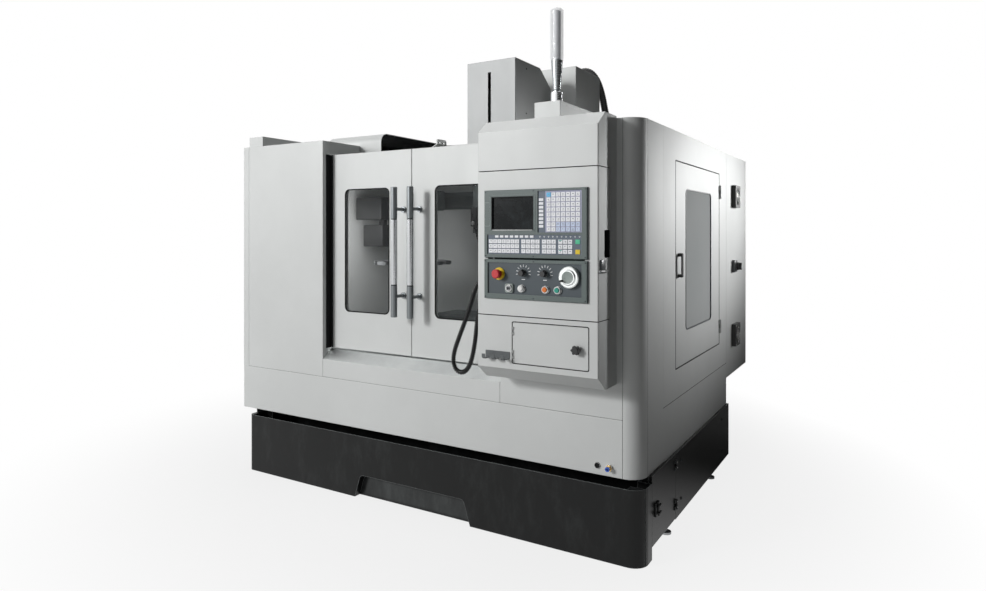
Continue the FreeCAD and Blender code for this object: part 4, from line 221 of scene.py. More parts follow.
def brushed_stainless():
    brushed = Finish("stainless", Metallic=1.0)
    lines = brushed.noise(300, 2, 0.5, (0.04, 1, 1))
    stains = brushed.noise(5, 5, 0.6)
    brushed.feed("Base Color", brushed.blend(stains.ramp(0.35, 0.75), seen(222, 225, 224),
                                             seen(204, 207, 207)))
    brushed.feed("Roughness", 0.28 + lines * 0.16 + stains * 0.08)
    brushed.bump(lines, 0.00005)
    return brushed


def oiled_steel():
    steel = Finish("steel", Metallic=1.0)
    lathe_lines = steel.noise(240, 2, 0.5, (0.2, 0.2, 1))
    oil = steel.noise(14, 5, 0.6)
    steel.feed("Base Color", steel.blend(oil.ramp(0.4, 0.7), seen(178, 180, 182), seen(128, 130, 132)))
    steel.feed("Roughness", 0.22 + lathe_lines * 0.15 + oil * 0.12)
    steel.bump(lathe_lines, 0.00004)
    return steel


def painted_casting():
    iron = Finish("casting", Metallic=0.0, Specular_IOR_Level=0.45)
    skin = iron.noise(90, 4, 0.6)
    grime = iron.noise(3.5, 6, 0.65)
    iron.feed("Base Color", iron.blend(grime.ramp(0.35, 0.75), seen(122, 130, 130), seen(96, 104, 104)))
    iron.feed("Roughness", 0.45 + grime * 0.25)
    iron.bump(skin, 0.0004)
    return iron


def tinted_window():
    """Smoky panes in the front doors, and in the side door a pale, more opaque pane whose colour is a
    painted reflection.
    """
    glass = Finish("tinted_window", Specular_IOR_Level=0.55)
    film = glass.noise(2.2, 5, 0.6)
    side_pane = glass.axis("X").ramp(1.2, 1.21)
    smoky_glass = glass.blend(film, seen(18, 22, 24), seen(34, 38, 40))
    # The side door's pale pane colour is a painted reflection.
    side_pane_painted_reflection = glass.blend(film, seen(236, 238, 238), seen(206, 212, 212))
    glass.feed("Base Color", glass.blend(side_pane, smoky_glass, side_pane_painted_reflection))
    glass.feed("Alpha", 0.22 + side_pane * (0.58 + film * 0.16))
    glass.feed("Roughness", 0.02 + film * 0.06)
    return glass


def clear_tube():
    clear = Finish("clear_tube", Specular_IOR_Level=0.6, Alpha=0.2)
    haze = clear.noise(30, 4, 0.6, (1, 1, 0.2))
    clear.feed("Base Color", clear.blend(haze, seen(236, 238, 242), seen(214, 218, 224)))
    clear.feed("Roughness", 0.03 + haze * 0.12)
    return clear


def door_handle():
    """A drawn tube whose ends are dull sleeves, with a dark ring where each one starts."""
    low, high = 1.133, 1.471
    pull = Finish("handle", Metallic=1.0)
    height = pull.axis("Z")
    middle = height.within(low, high, 0.001)
    low_ring = height.within(low - 0.002, low + 0.003, 0.0005)
    high_ring = height.within(high - 0.003, high + 0.002, 0.0005)
    drawn = pull.noise(260, 2, 0.5, (1, 1, 0.03))
    tube = pull.blend(middle, seen(126, 130, 132), seen(204, 206, 208))
    pull.feed("Base Color", pull.blend(low_ring + high_ring, tube, seen(40, 42, 44)))
    pull.feed("Roughness", 0.28 - middle * 0.14 + drawn * 0.08)
    pull.bump(drawn, 0.00005)
    return pull


def black_plastic():
    plastic = Finish("black_plastic", Specular_IOR_Level=0.5)
    grain = plastic.noise(700, 2)
    scuffs = plastic.noise(22, 5, 0.7)
    plastic.feed("Base Color", plastic.blend(scuffs.ramp(0.5, 0.8), seen(24, 25, 26), seen(40, 41, 42)))
    plastic.feed("Roughness", 0.3 + scuffs * 0.16 + grain * 0.1)
    plastic.bump(grain, 0.0001)
    return plastic


def control_plate():
    """Slate paint of the control frames with a painted highlight along their edges, bluer and darker on the
    plates that lie deeper.
    """
    slate = Finish("control_plate", Specular_IOR_Level=0.5)
    grain = slate.noise(900, 2)
    sunk = slate.axis("Y").ramp(-1.1668, -1.1662)
    # The frames' edges are lightened towards a pale slate: a painted highlight.
    rim = slate.blend(slate.edges(0.0015), seen(88, 100, 98), seen(150, 158, 156))
    slate.feed("Base Color", slate.blend(sunk, rim, seen(58, 68, 74)))
    slate.feed("Roughness", 0.42 + grain * 0.12)
    slate.bump(grain, 0.00008)
    return slate


def key_sheet():
    """White keys that stand proud of a lilac ground round the main ones and a slate one elsewhere."""
    keys = Finish("key_sheet", Specular_IOR_Level=0.5)
    proud = 1 - keys.axis("Y").ramp(-1.1674, -1.1668)
    main_block = keys.axis("Z").ramp(1.400, 1.404) * keys.axis("X").ramp(0.886, 0.888)
    grain = keys.noise(500, 2)
    ground = keys.blend(main_block, seen(84, 96, 110), seen(158, 160, 186))
    face = keys.blend(grain, seen(244, 245, 248), seen(234, 236, 240))
    keys.feed("Base Color", keys.blend(proud, ground, face))
    keys.feed("Roughness", 0.34 + grain * 0.12)
    keys.bump(grain, 0.00004)
    return keys


def screen_glass():
    display = Finish("screen_glass", Specular_IOR_Level=0.2)
    film = display.noise(12, 5, 0.7)
    display.feed("Base Color", display.blend(film.ramp(0.45, 0.85), seen(12, 17, 19), seen(40, 47, 50)))
    display.feed("Roughness", 0.08 + film * 0.16)
    return display


def lamp_metal():
    """The signal light: a turned foot, a duller core in its clear tube and a white top."""
    lamp = Finish("lamp_metal")
    height = lamp.axis("Z")
    lathe_lines = lamp.noise(420, 2, 0.5, (0.1, 0.1, 1))
    core = height.within(2.022, 2.166, 0.003)
    top = height.ramp(2.166, 2.172)
    metal = lamp.blend(core, seen(216, 218, 220), seen(164, 168, 170))
    shade = lamp.blend(top, metal, seen(246, 247, 248))
    lamp.feed("Metallic", 1 - top)
    lamp.feed("Base Color", lamp.blend(lathe_lines.ramp(0.5, 0.9) * 0.1, shade, seen(150, 154, 156)))
    lamp.feed("Roughness", 0.18 + lathe_lines * 0.16)
    lamp.bump(lathe_lines, 0.00004)
    return lamp


def small_part(name, colour):
    """Moulded or printed in one colour, duller where it is touched."""
    cap = Finish(name, Specular_IOR_Level=0.5)
    wear = cap.noise(60, 4, 0.6)
    grain = cap.noise(600, 2)
    touched = [number * 0.86 for number in colour]
    cap.feed("Base Color", cap.blend(wear.ramp(0.45, 0.8), seen(*colour), seen(*touched)))
    cap.feed("Roughness", 0.3 + wear * 0.14)
    cap.bump(grain, 0.00006)
    return cap


def small_metal(name, bright, dull, rough):
    """A plated or brass fitting with smudges and fine lines."""
    metal = Finish(name, Metallic=1.0)
    smudge = metal.noise(40, 4, 0.6)
    lines = metal.noise(500, 2, 0.5, (1, 1, 0.1))
    metal.feed("Base Color", metal.blend(smudge.ramp(0.4, 0.75), seen(*bright), seen(*dull)))
    metal.feed("Roughness", rough + smudge * 0.14 + lines * 0.06)
    metal.bump(lines, 0.00004)
    return metal


def black_rubber(name, colour, rough, shine):
    """Rubber or hose plastic with a grey bloom and fine pores."""
    rubber = Finish(name, Specular_IOR_Level=shine)
    bloom = rubber.noise(26, 5, 0.65)
    pores = rubber.noise(800, 2)
    bloomed = [number + 10 for number in colour]
    rubber.feed("Base Color", rubber.blend(bloom.ramp(0.45, 0.85), seen(*colour), seen(*bloomed)))
    rubber.feed("Roughness", rough + bloom * 0.16)
    rubber.bump(pores, 0.0001)
    return rubber


SMALL_PARTS = {
    "red_cap": (206, 46, 52), "white_cap": (246, 246, 244), "orange_cap": (236, 122, 32),
    "green_cap": (20, 152, 132), "yellow_disc": (238, 206, 30), "blue_collar": (40, 92, 196),
    "pale_dial": (214, 216, 214), "hub_grey": (150, 160, 156), "white_print": (232, 234, 234),
    "grey_print": (120, 124, 132), "blue_key": (204, 216, 240), "sky_key": (92, 190, 236),
    "green_key": (74, 196, 150), "teal_print": (70, 170, 160), "switch_grey": (92, 96, 98),
}


def make_finishes():
    """Every finish by its name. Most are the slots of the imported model."""
    made = [
        sheet_metal_paint("panel_paint", seen(204, 206, 205), seen(198, 200, 199)),
        # The head cover's paint is a darker copy of the panel paint: painted shade.
        sheet_metal_paint("head_shaded_paint", seen(186, 188, 188), seen(180, 182, 182)),
        black_paint(), brushed_stainless(), oiled_steel(), painted_casting(), tinted_window(),
        clear_tube(), door_handle(), black_plastic(), control_plate(), key_sheet(), screen_glass(),
        lamp_metal(),
        small_metal("bright_metal", (214, 214, 212), (166, 168, 170), 0.2),
        small_metal("brass", (206, 170, 98), (160, 126, 70), 0.22),
        small_metal("dark_screw", (70, 72, 74), (44, 46, 48), 0.34),
        black_rubber("conduit", (5, 5, 6), 0.14, 0.5),
        black_rubber("hose", (22, 22, 23), 0.34, 0.5),
        black_rubber("rubber", (18, 19, 20), 0.6, 0.2),
    ]
    made += [small_part(name, colour) for name, colour in SMALL_PARTS.items()]
    return {finish.name: finish for finish in made}


# The nodes that don't take the finish of their slot.
# The head cover takes the darker copy of the panel paint, which is painted shade.
OWN_FINISHES = {"head_cover": "head_shaded_paint", "pendant_hooks": "switch_grey", "key_switch": "steel"}


def colour_nodes(finishes):
    """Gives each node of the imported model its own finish, or the one that its slot names."""
    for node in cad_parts.values():
        for holder in node.material_slots:
            slot = holder.material.name.split(".")[0]
            holder.material = finishes[OWN_FINISHES.get(node.name, slot)].material


# ---------------------------------------------------------------------------- shapes
def facing(way):
    """Turns +Z to a direction."""
    return Vector((0, 0, 1)).rotation_difference(Vector(way)).to_matrix().to_4x4()


def spot(x, y, z):
    return Matrix.Translation(Vector((x, y, z)) * MM)


def block(shape, low, high, soft=0.0):
    """A box between two corners, its edges rounded by soft."""
    low, high = Vector(low) * MM, Vector(high) * MM
    size = Matrix.Diagonal((*(high - low), 1))
    made = bmesh.ops.create_cube(shape, size=1, matrix=Matrix.Translation((low + high) / 2) @ size)
    if soft:
        edges = {edge for corner in made["verts"] for edge in corner.link_edges}
        bmesh.ops.bevel(shape, geom=list(edges), offset=soft * MM, offset_type="OFFSET", segments=2,
                        profile=0.5, affect="EDGES", material=-1)


def turned(shape, outline, where, way=(0, 0, 1), steps=32):
    """Spins an outline of (radius, height) points about an axis that points way."""
    corners = [shape.verts.new((r * MM, 0, h * MM)) for r, h in outline]
    edges = [shape.edges.new(pair) for pair in zip(corners, corners[1:])]
    before = set(shape.verts) - set(corners)
    bmesh.ops.spin(shape, geom=corners + edges, cent=(0, 0, 0), axis=(0, 0, 1), dvec=(0, 0, 0),
                   angle=math.tau, steps=steps, use_merge=True)
    made = [corner for corner in shape.verts if corner not in before]
    bmesh.ops.remove_doubles(shape, verts=made, dist=1e-6)
    made = [corner for corner in shape.verts if corner not in before]
    bmesh.ops.transform(shape, matrix=spot(*where) @ facing(way), verts=made)


def plate(shape, across, up, corner, thick, rim=0.0):
    """Makes a flat rounded rectangle about the origin, or only its rim, and gives the new corners."""
    before = set(shape.verts)
    bmesh.ops.create_grid(shape, x_segments=1, y_segments=1, size=0.5,
                          matrix=Matrix.Diagonal((across * MM, up * MM, 1, 1)))
    bmesh.ops.bevel(shape, geom=[v for v in shape.verts if v not in before], offset=corner * MM,
                    offset_type="OFFSET", segments=6, profile=0.5, affect="VERTICES", material=-1)
    faces = [f for f in shape.faces if not set(f.verts) & before]
    if rim:
        bmesh.ops.inset_region(shape, faces=faces, use_boundary=True, thickness=rim * MM,
                               use_even_offset=True)
        bmesh.ops.delete(shape, geom=faces, context="FACES")
        faces = [f for f in shape.faces if not set(f.verts) & before]
    lifted = bmesh.ops.extrude_face_region(shape, geom=faces)["geom"]
    raised = [v for v in lifted if isinstance(v, bmesh.types.BMVert)]
    bmesh.ops.translate(shape, verts=raised, vec=(0, 0, thick * MM))
    return [v for v in shape.verts if v not in before]


def plate_on_front(shape, where, *sizes, rim=0.0):
    """A plate that stands up to face -Y at a spot."""
    made = plate(shape, *sizes, rim=rim)
    bmesh.ops.transform(shape, matrix=spot(*where) @ Matrix.Rotation(math.radians(90), 4, "X"), verts=made)


def plate_on_side(shape, where, *sizes, rim=0.0):
    """A plate that stands up to face +X at a spot."""
    made = plate(shape, *sizes, rim=rim)
    turn = Matrix.Rotation(math.radians(90), 4, "Z") @ Matrix.Rotation(math.radians(90), 4, "X")
    bmesh.ops.transform(shape, matrix=spot(*where) @ turn, verts=made)


def stroke(shape, x, z, wide, high, y, thick=0.35):
    """A printed bar or the face of a key, thick proud of a plane y."""
    block(shape, (x - wide / 2, y - thick, z - high / 2), (x + wide / 2, y, z + high / 2))


def dial_mark(shape, x, z, angle, low, high):
    """A box above the middle of a dial at x and z, turned about that middle."""
    before = set(shape.verts)
    block(shape, low, high)
    made = [v for v in shape.verts if v not in before]
    turn = spot(x, 0, z) @ Matrix.Rotation(angle, 4, "Y")
    bmesh.ops.transform(shape, matrix=turn, verts=made)


def finish_piece(name, shape, body, finish):
    """Makes a shape a piece that rides on a body: soft across its gentle edges, sharp at the others."""
    bmesh.ops.recalc_face_normals(shape, faces=shape.faces)
    for face in shape.faces:
        face.smooth = True
    for edge in shape.edges:
        edge.smooth = edge.calc_face_angle(0) < 0.6
    mesh = bpy.data.meshes.new(name)
    shape.to_mesh(mesh)
    shape.free()
    mesh.materials.append(finish.material)
    piece = bpy.data.objects.new(name, mesh)
    bpy.context.scene.collection.objects.link(piece)
    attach(piece, body)
    return piece


# ---------------------------------------------------------------------------- conduit and hose
CONDUIT_ROUTE = [
    (520, 1190), (488, 1190), (460, 1170), (440, 1136), (424, 1090), (405, 1035), (380, 975), (350, 905),
    (325, 845), (314, 795), (324, 755), (352, 735), (384, 743), (408, 772), (424, 815), (437, 875),
    (444, 925), (449, 970), (456, 1012), (468, 1050), (490, 1075), (520, 1075),
]
HOSE_ROUTE = [
    (60, 2275), (60, 2375), (82, 2478), (146, 2566), (232, 2560), (292, 2480), (326, 2370),
    (346, 2260), (372, 2155), (416, 2083), (460, 2010), (460, 1925),
]
CONDUIT_PLANE, HOSE_PLANE = -1007, 853      # the upright planes that they lie in, as y


def line_points(name, route, y):
    """Points along the smooth line of a route, in metres."""
    line = bpy.data.curves.new(name, "CURVE")
    line.dimensions = "3D"
    line.resolution_u = 24
    spline = line.splines.new("NURBS")
    spline.points.add(len(route) - 1)
    for point, (x, z) in zip(spline.points, route):
        point.co = (x * MM, y * MM, z * MM, 1)
    spline.order_u = 3
    spline.use_endpoint_u = True
    holder = bpy.data.objects.new(name, line)
    bpy.context.scene.collection.objects.link(holder)
    bpy.context.view_layer.update()
    mesh = bpy.data.meshes.new_from_object(holder)
    points = [corner.co.copy() for corner in mesh.vertices]
    bpy.data.objects.remove(holder)
    return points


def line_length(points):
    return sum((b - a).length for a, b in zip(points, points[1:]))


def stations(points, distances):
    """The place and direction at each distance along a line."""
    runs = [(b - a).length for a, b in zip(points, points[1:])]
    found = []
    step, done = 0, 0.0
    for far in distances:
        while step < len(runs) - 1 and done + runs[step] < far:
            done += runs[step]
            step += 1
        a, b = points[step], points[step + 1]
        share = min(1.0, (far - done) / runs[step])
        found.append((a.lerp(b, share), (b - a).normalized()))
    return found


def ribbed_hose(name, points, rib, root, pitch, sides, body, finish):
    """A corrugated hose: rounded ribs on a thinner root, swept along a line in an upright plane."""
    long = line_length(points)
    count = int(long / (pitch * MM))
    step = long / count
    shoulder = (rib + root) / 2 + 0.35
    profile = ((0.0, root), (0.22, root), (0.36, shoulder), (0.5, rib), (0.72, rib), (0.86, shoulder))
    places = [(step * (n + share), radius) for n in range(count) for share, radius in profile]
    places.append((long, root))
    shape = bmesh.new()
    before = None
    ring = []
    for (middle, along), (_, radius) in zip(stations(points, [far for far, _ in places]), places):
        across = Vector((0, 1, 0))
        out = across.cross(along).normalized()
        frame_here = Matrix((out, across, along)).transposed().to_4x4()
        frame_here.translation = middle
        here = frame_here @ Matrix.Diagonal((radius * MM, radius * MM, radius * MM, 1))
        if before is None:
            bmesh.ops.create_circle(shape, cap_ends=False, radius=1, segments=sides, matrix=here)
            ring = list(shape.edges)
        else:
            made = bmesh.ops.extrude_edge_only(shape, edges=ring)["geom"]
            ring = [part for part in made if isinstance(part, bmesh.types.BMEdge)]
            corners = [part for part in made if isinstance(part, bmesh.types.BMVert)]
            bmesh.ops.transform(shape, matrix=here @ before.inverted(), verts=corners)
        before = here
    bmesh.ops.holes_fill(shape, edges=[edge for edge in shape.edges if edge.is_boundary], sides=0)
    return finish_piece(name, shape, body, finish)


def fit_hoses(finishes):
    """The conduit loop beside the console, and the cable hose from the column to the cabinet."""
    points = line_points("conduit_line", CONDUIT_ROUTE, CONDUIT_PLANE)
    conduit = ribbed_hose("ribbed_conduit", points, 12, 8.2, 10, 20, "machine", finishes["conduit"])
    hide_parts("conduit_loop")
    points = line_points("hose_line", HOSE_ROUTE, HOSE_PLANE)
    hose = ribbed_hose("head_cable_hose", points, 25, 21.5, 15, 28, "machine", finishes["hose"])
    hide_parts("rear_hose")


# ---------------------------------------------------------------------------- doors and covers
def fit_window_gaskets(finishes):
    """A rim round each window, a little proud of the door's skin."""
    over, corner, deep, rim = 4, 30, 5, 6
    wide, high, middle = 311, 671, 1303.5
    for side, left in (("left", -485), ("right", 126)):
        shape = bmesh.new()
        plate_on_front(shape, (left + wide / 2, FRONT + 66, middle), wide + over, high + over, corner, deep,
                       rim=rim)
        finish_piece(f"{side}_window_rim", shape, f"{side}_door", finishes["rubber"])
    wide, high = 517, 706
    shape = bmesh.new()
    plate_on_side(shape, (SIDE - 3, -25.5, 1267), wide + over, high + over, corner, deep, rim=rim)
    finish_piece("side_window_rim", shape, "side_door", finishes["switch_grey"])


def screw(shape, where, way, radius):
    """A cap screw with a domed rim and a hex socket."""
    r = radius
    rim = [(r * 0.45, -0.2), (r * 0.45, r * 0.55), (r * 0.85, r * 0.6), (r, r * 0.42), (r, -0.2)]
    turned(shape, rim, where, way, 12)
    turned(shape, [(0, r * 0.12), (r * 0.5, r * 0.12)], where, way, 6)


def fit_screws(finishes):
    """The screws of the skirt and head cover, of the fans, and of the control frames."""
    shape = bmesh.new()
    for y in (539, 1390):
        for z in (119, 302):
            screw(shape, (SKIRT, FRONT + y, z), TO_RIGHT, 7)
    for x, way in ((170, TO_RIGHT), (-172, TO_LEFT)):
        for z in (2136, 2411):
            screw(shape, (x, FRONT + 957, z), way, 5)
    finish_piece("cover_screws", shape, "machine", finishes["dark_screw"])
    shape = bmesh.new()
    for y, z in FANS:
        for along in (-60, 60):
            for up in (-60, 60):
                screw(shape, (SIDE + 25, y + along, z + up), TO_RIGHT, 4.5)
    finish_piece("fan_screws", shape, "machine", finishes["bright_metal"])
    shape = bmesh.new()
    for x in (598, 833, 1069):
        for z in (1124, 1279, 1301, 1577):
            screw(shape, (x, FRAMES, z), TO_FRONT, 2.6)
    finish_piece("panel_screws", shape, "console_shell", finishes["dark_screw"])


# ---------------------------------------------------------------------------- control panel
KEY_FACE = PLATE - 2.6                      # front of the keys
KEYS = 582                                  # left edge of the key sheet, as x
MAIN_PITCH = (22, 20.6)                     # of the main block of keys, across and up
OPERATOR_BLOCKS = [(41, 7, 21.7), (202, 4, 22.3), (300, 3, 21.9), (375, 3, 21.6)]  # start, columns, pitch
SWITCHES = 1164                             # row of the key switch and the buttons, as z
KEY_SWITCH, BUTTONS = 716, (775, 889, 945)  # their middles, as x
STOP = (665, PLATE, 1224)                   # middle of the emergency stop
SELECTORS = [(783, 1230), (885, 1230)]      # middles of the two selector dials, x and z
WHEEL = (1000, PLATE, 1219)                 # middle of the handwheel
SCREEN = (731, FRAMES + 2, 1485)            # middle of the screen


def main_key(column, row):
    """The middle of a key of the main block, counted from its lowest left one."""
    across, up = MAIN_PITCH
    return KEYS + 321 + column * across, 1415 + row * up


def printed_keys():
    """The middle of every key with marks on it: the main block, then the operator's four blocks."""
    places = [main_key(column, row) for column in range(7) for row in range(8)]
    for start, columns, pitch in OPERATOR_BLOCKS:
        places += [(KEYS + start + column * pitch, 1323 + row * 20.5)
                   for column in range(columns) for row in range(3)]
    return places


def fit_key_strokes(finishes):
    """A stroke or two on each key, different from key to key."""
    chance = random.Random(5)
    shape = bmesh.new()
    for x, z in printed_keys():
        long = chance.uniform(3.5, 8)
        stroke(shape, x + chance.uniform(-1.5, 1.5), z + 1.6, long, 2.4, KEY_FACE)
        if chance.random() < 0.6:
            stroke(shape, x + chance.uniform(-2, 2), z - 3.6, chance.uniform(3, 7), 1.5, KEY_FACE)
    finish_piece("key_strokes", shape, "console_shell", finishes["grey_print"])


def fit_coloured_keys(finishes):
    for name, finish, middles, wide, high in (
            ("sky_key", "sky_key", [main_key(0, 7)], 19, 17.5),
            ("blue_keys", "blue_key", [main_key(c, r) for c in range(2, 7) for r in (0, 1)], 19, 17.5),
            ("teal_marks", "teal_print", [(957, 1328), (957, 1369)], 13, 3),
            ("start_key", "green_key", [(1034, 1364)], 20, 18),
            ("hold_key", "yellow_disc", [(1034, 1323)], 20, 18)):
        shape = bmesh.new()
        for x, z in middles:
            stroke(shape, x, z, wide, high, KEY_FACE + 0.2, 0.45)
        finish_piece(name, shape, "console_shell", finishes[finish])


def fit_panel_marks(finishes):
    """The row of small marks over the operator's keys, and the ticks and captions of the selectors."""
    shape = bmesh.new()
    for n in range(10):
        stroke(shape, 862 + n * 20, 1386, 7, 2, PLATE - 1)
        stroke(shape, 862 + n * 20, 1382, 4, 2, PLATE - 1)
    radius = 31
    for x, z in SELECTORS:
        stroke(shape, x, z - 27, 17, 3, PLATE)
        for step in range(9):
            dial_mark(shape, x, z, math.radians(-100 + step * 25), (-1.3, PLATE - 0.35, radius - 5),
                      (1.3, PLATE, radius + 5))
    finish_piece("panel_marks", shape, "console_shell", finishes["white_print"])


def fit_switch_rings(finishes):
    """The emergency stop's disc, the bezels of the key and the buttons, and the key's square guard."""
    shape = bmesh.new()
    turned(shape, [(15, 0), (15, 5.2), (25.5, 5.2), (27, 4), (27, 0)], STOP, TO_FRONT, 48)
    finish_piece("stop_disc", shape, "console_shell", finishes["yellow_disc"])
    shape = bmesh.new()
    bezel = [(11.7, 9), (11.7, 12.4), (14, 12.4), (15.6, 10.6), (15.6, 1.5), (16.6, 0.8), (16.6, 0)]
    for x in (KEY_SWITCH, *BUTTONS):
        turned(shape, bezel, (x, PLATE, SWITCHES), TO_FRONT, 36)
    finish_piece("button_bezels", shape, "console_shell", finishes["bright_metal"])
    shape = bmesh.new()
    plate_on_front(shape, (KEY_SWITCH, PLATE, SWITCHES), 38, 38, 8, 8, rim=5)
    finish_piece("key_guard", shape, "console_shell", finishes["hub_grey"])


def fit_screen_trim(finishes):
    """The screen's bezel, the black seal inside it, and a pale strip along its foot that is a painted
    highlight.
    """
    shape = bmesh.new()
    plate_on_front(shape, SCREEN, 222, 158, 6, 3.4, rim=10)
    finish_piece("screen_bezel", shape, "console_shell", finishes["control_plate"])
    shape = bmesh.new()
    plate_on_front(shape, SCREEN, 206, 142, 4, 3.8, rim=4)
    finish_piece("screen_seal", shape, "console_shell", finishes["rubber"])
    # A pale strip along the screen's foot: a painted highlight.
    shape = bmesh.new()
    block(shape, (634, FRAMES - 2.4, 1411), (828, FRAMES, 1414), 0.4)
    finish_piece("screen_foot_highlight", shape, "console_shell", finishes["pale_dial"])


def fit_wheel_trim(finishes):
    """The handwheel's bright dial, its grey hub and the marks round its rim."""
    shape = bmesh.new()
    turned(shape, [(25, 27.4), (29, 27.4), (33.6, 20.8), (41, 20.8), (44.6, 17.2), (44.6, 4)],
           WHEEL, TO_FRONT, 64)
    finish_piece("wheel_dial", shape, "handwheel", finishes["stainless"])
    shape = bmesh.new()
    turned(shape, [(0, 27.2), (23, 27.2), (25.6, 27.7), (25.6, 26)], WHEEL, TO_FRONT, 48)
    finish_piece("wheel_hub", shape, "handwheel", finishes["hub_grey"])
    shape = bmesh.new()
    steps, outer = 50, 41
    for step in range(steps):
        long = 6 if step % 5 == 0 else 3.2
        dial_mark(shape, WHEEL[0], WHEEL[2], math.tau * step / steps, (-0.35, PLATE - 21.1, outer - long),
                  (0.35, PLATE - 20.6, outer))
    finish_piece("wheel_marks", shape, "handwheel", finishes["dark_screw"])


# ---------------------------------------------------------------------------- seals and seams
def fit_door_gap_angle(finishes):
    """A dark angle beside the left door, on the return of the left cover and behind the door's edge."""
    cover, low, high = -593, 760, 1837
    shape = bmesh.new()
    block(shape, (cover, FRONT + 25, low), (cover + 3, FRONT + 62.5, high))
    block(shape, (cover, FRONT + 59, low), (cover + 17, FRONT + 62.5, high))
    finish_piece("door_wiper", shape, "machine", finishes["rubber"])


def fit_seam_shade_strips(finishes):
    """Dark strips laid in the joints between the panels of the front and of the right side: painted shade
    in the seams.
    """
    half = 0.8
    seam, low, high = 605, 357, 1889
    post, corner = 1146, FRONT + 80
    shape = bmesh.new()
    # These dark strips fill the seams as painted shade.
    block(shape, (-1200, FRONT + 1.2, seam - half), (post, FRONT + 2.2, seam + half))
    block(shape, (post - half, FRONT + 1.2, low), (post + half, FRONT + 2.2, high))
    block(shape, (SIDE - 0.6, corner - half, low + 1), (SIDE + 0.3, corner + half, high))
    for y in (299, 1574):
        block(shape, (SIDE - 2.2, FRONT + y - half, seam), (SIDE - 1.2, FRONT + y + half, high))
    block(shape, (SIDE - 1.6, corner, seam - 4), (SIDE - 0.9, FRONT + 1573, seam))
    finish_piece("seam_shade_strips", shape, "machine", finishes["rubber"])


def fit_console_seals(finishes):
    """The liner of the side grip, and dark strips in the gaps round the hinged middle and round the flap
    that are painted shade.
    """
    grip = (1098.2, -1064, 1355.5)
    shape = bmesh.new()
    plate_on_side(shape, grip, 61, 114, 8, 21.5, rim=1.4)
    plate_on_side(shape, grip, 60, 113, 8, 0.6)
    finish_piece("side_grip_liner", shape, "console_shell", finishes["rubber"])
    # Black strips in the gaps above and below the hinged middle: painted shade.
    shape = bmesh.new()
    left, right = 553, 1117
    block(shape, (left, CONSOLE + 3, 1040.6), (right, -1040, 1043.4))
    block(shape, (left, CONSOLE + 3, 1669.8), (right, -1040, 1672.4))
    block(shape, (left + 7, -1026.6, 1046), (right, -1024.6, 1667))
    finish_piece("shell_gap_shade", shape, "machine", finishes["rubber"])
    # A black rim round the flap: painted shade in its outline.
    shape = bmesh.new()
    plate_on_front(shape, (902, CONSOLE, 930), 352 + 6, 176 + 6, 9, 0.7, rim=3)
    finish_piece("flap_gap_shade", shape, "machine", finishes["rubber"])


# The dark rim round the side door's gap is painted shade.
def fit_side_door_gap_shade(finishes):
    shape = bmesh.new()
    plate_on_side(shape, (SIDE - 0.9, FRONT + 941.5, 1247.5), 893 + 8, 999 + 8, 4, 1.4, rim=6)
    finish_piece("side_door_seal", shape, "machine", finishes["rubber"])


# ---------------------------------------------------------------------------- fittings
def fit_inlet(finishes):
    """The air inlet low on the front, and the grommet beside it."""
    inlet = (1088, FRONT, 396)
    shape = bmesh.new()
    turned(shape, [(4.4, 26.4), (9.4, 26.4), (9.8, 25.8), (9.8, 9.4), (14.3, 9.4), (14.3, 0)],
           inlet, TO_FRONT, 6)
    finish_piece("inlet_body", shape, "machine", finishes["brass"])
    shape = bmesh.new()
    turned(shape, [(4.4, 26), (4.4, 29.5), (9.2, 29.5), (10.2, 28.4), (10.2, 26)], inlet, TO_FRONT, 28)
    finish_piece("inlet_collar", shape, "machine", finishes["blue_collar"])
    shape = bmesh.new()
    turned(shape, [(0, 1), (6.5, 1), (6.8, 4.4), (11.6, 4.6), (13.6, 2.6), (13.6, 0)],
           (1032, FRONT, 397), TO_FRONT, 36)
    finish_piece("cable_grommet", shape, "machine", finishes["rubber"])


def fit_catch(finishes):
    """The catch on the console's right side."""
    shape = bmesh.new()
    block(shape, (1119.5, FRONT - 186, 1250), (1127, FRONT - 142, 1292), 1)
    block(shape, (1119.5, FRONT - 200, 1238), (1131, FRONT - 118, 1247), 1)
    finish_piece("shell_catch", shape, "console_shell", finishes["switch_grey"])


def fit_switch_box(finishes):
    """The square box and round boss under the main switch's handle."""
    y, z, half = FRONT + 1772, 1189, 38
    shape = bmesh.new()
    block(shape, (SIDE, y - half, z - half), (SIDE + 18.4, y + half, z + half), 2)
    turned(shape, [(9, 24.4), (29, 24.4), (30, 23.4), (30, 18)], (SIDE, y, z), TO_RIGHT, 40)
    finish_piece("switch_box", shape, "machine", finishes["switch_grey"])


def fit_fan_guards(finishes):
    """Three wire rings and a cross over each fan."""
    wire = 1.5
    circle = [(wire * math.cos(a), wire * math.sin(a)) for a in (math.tau * n / 8 for n in range(9))]
    shape = bmesh.new()
    for y, z in FANS:
        for radius in (14, 30, 46):
            turned(shape, [(radius + out, 5 + up) for out, up in circle], (SIDE + 22, y, z), TO_RIGHT, 36)
        for wide, high in ((104, 3), (3, 104)):
            block(shape, (SIDE + 25.6, y - wide / 2, z - high / 2),
                  (SIDE + 28.4, y + wide / 2, z + high / 2))
    finish_piece("fan_guards", shape, "machine", finishes["bright_metal"])


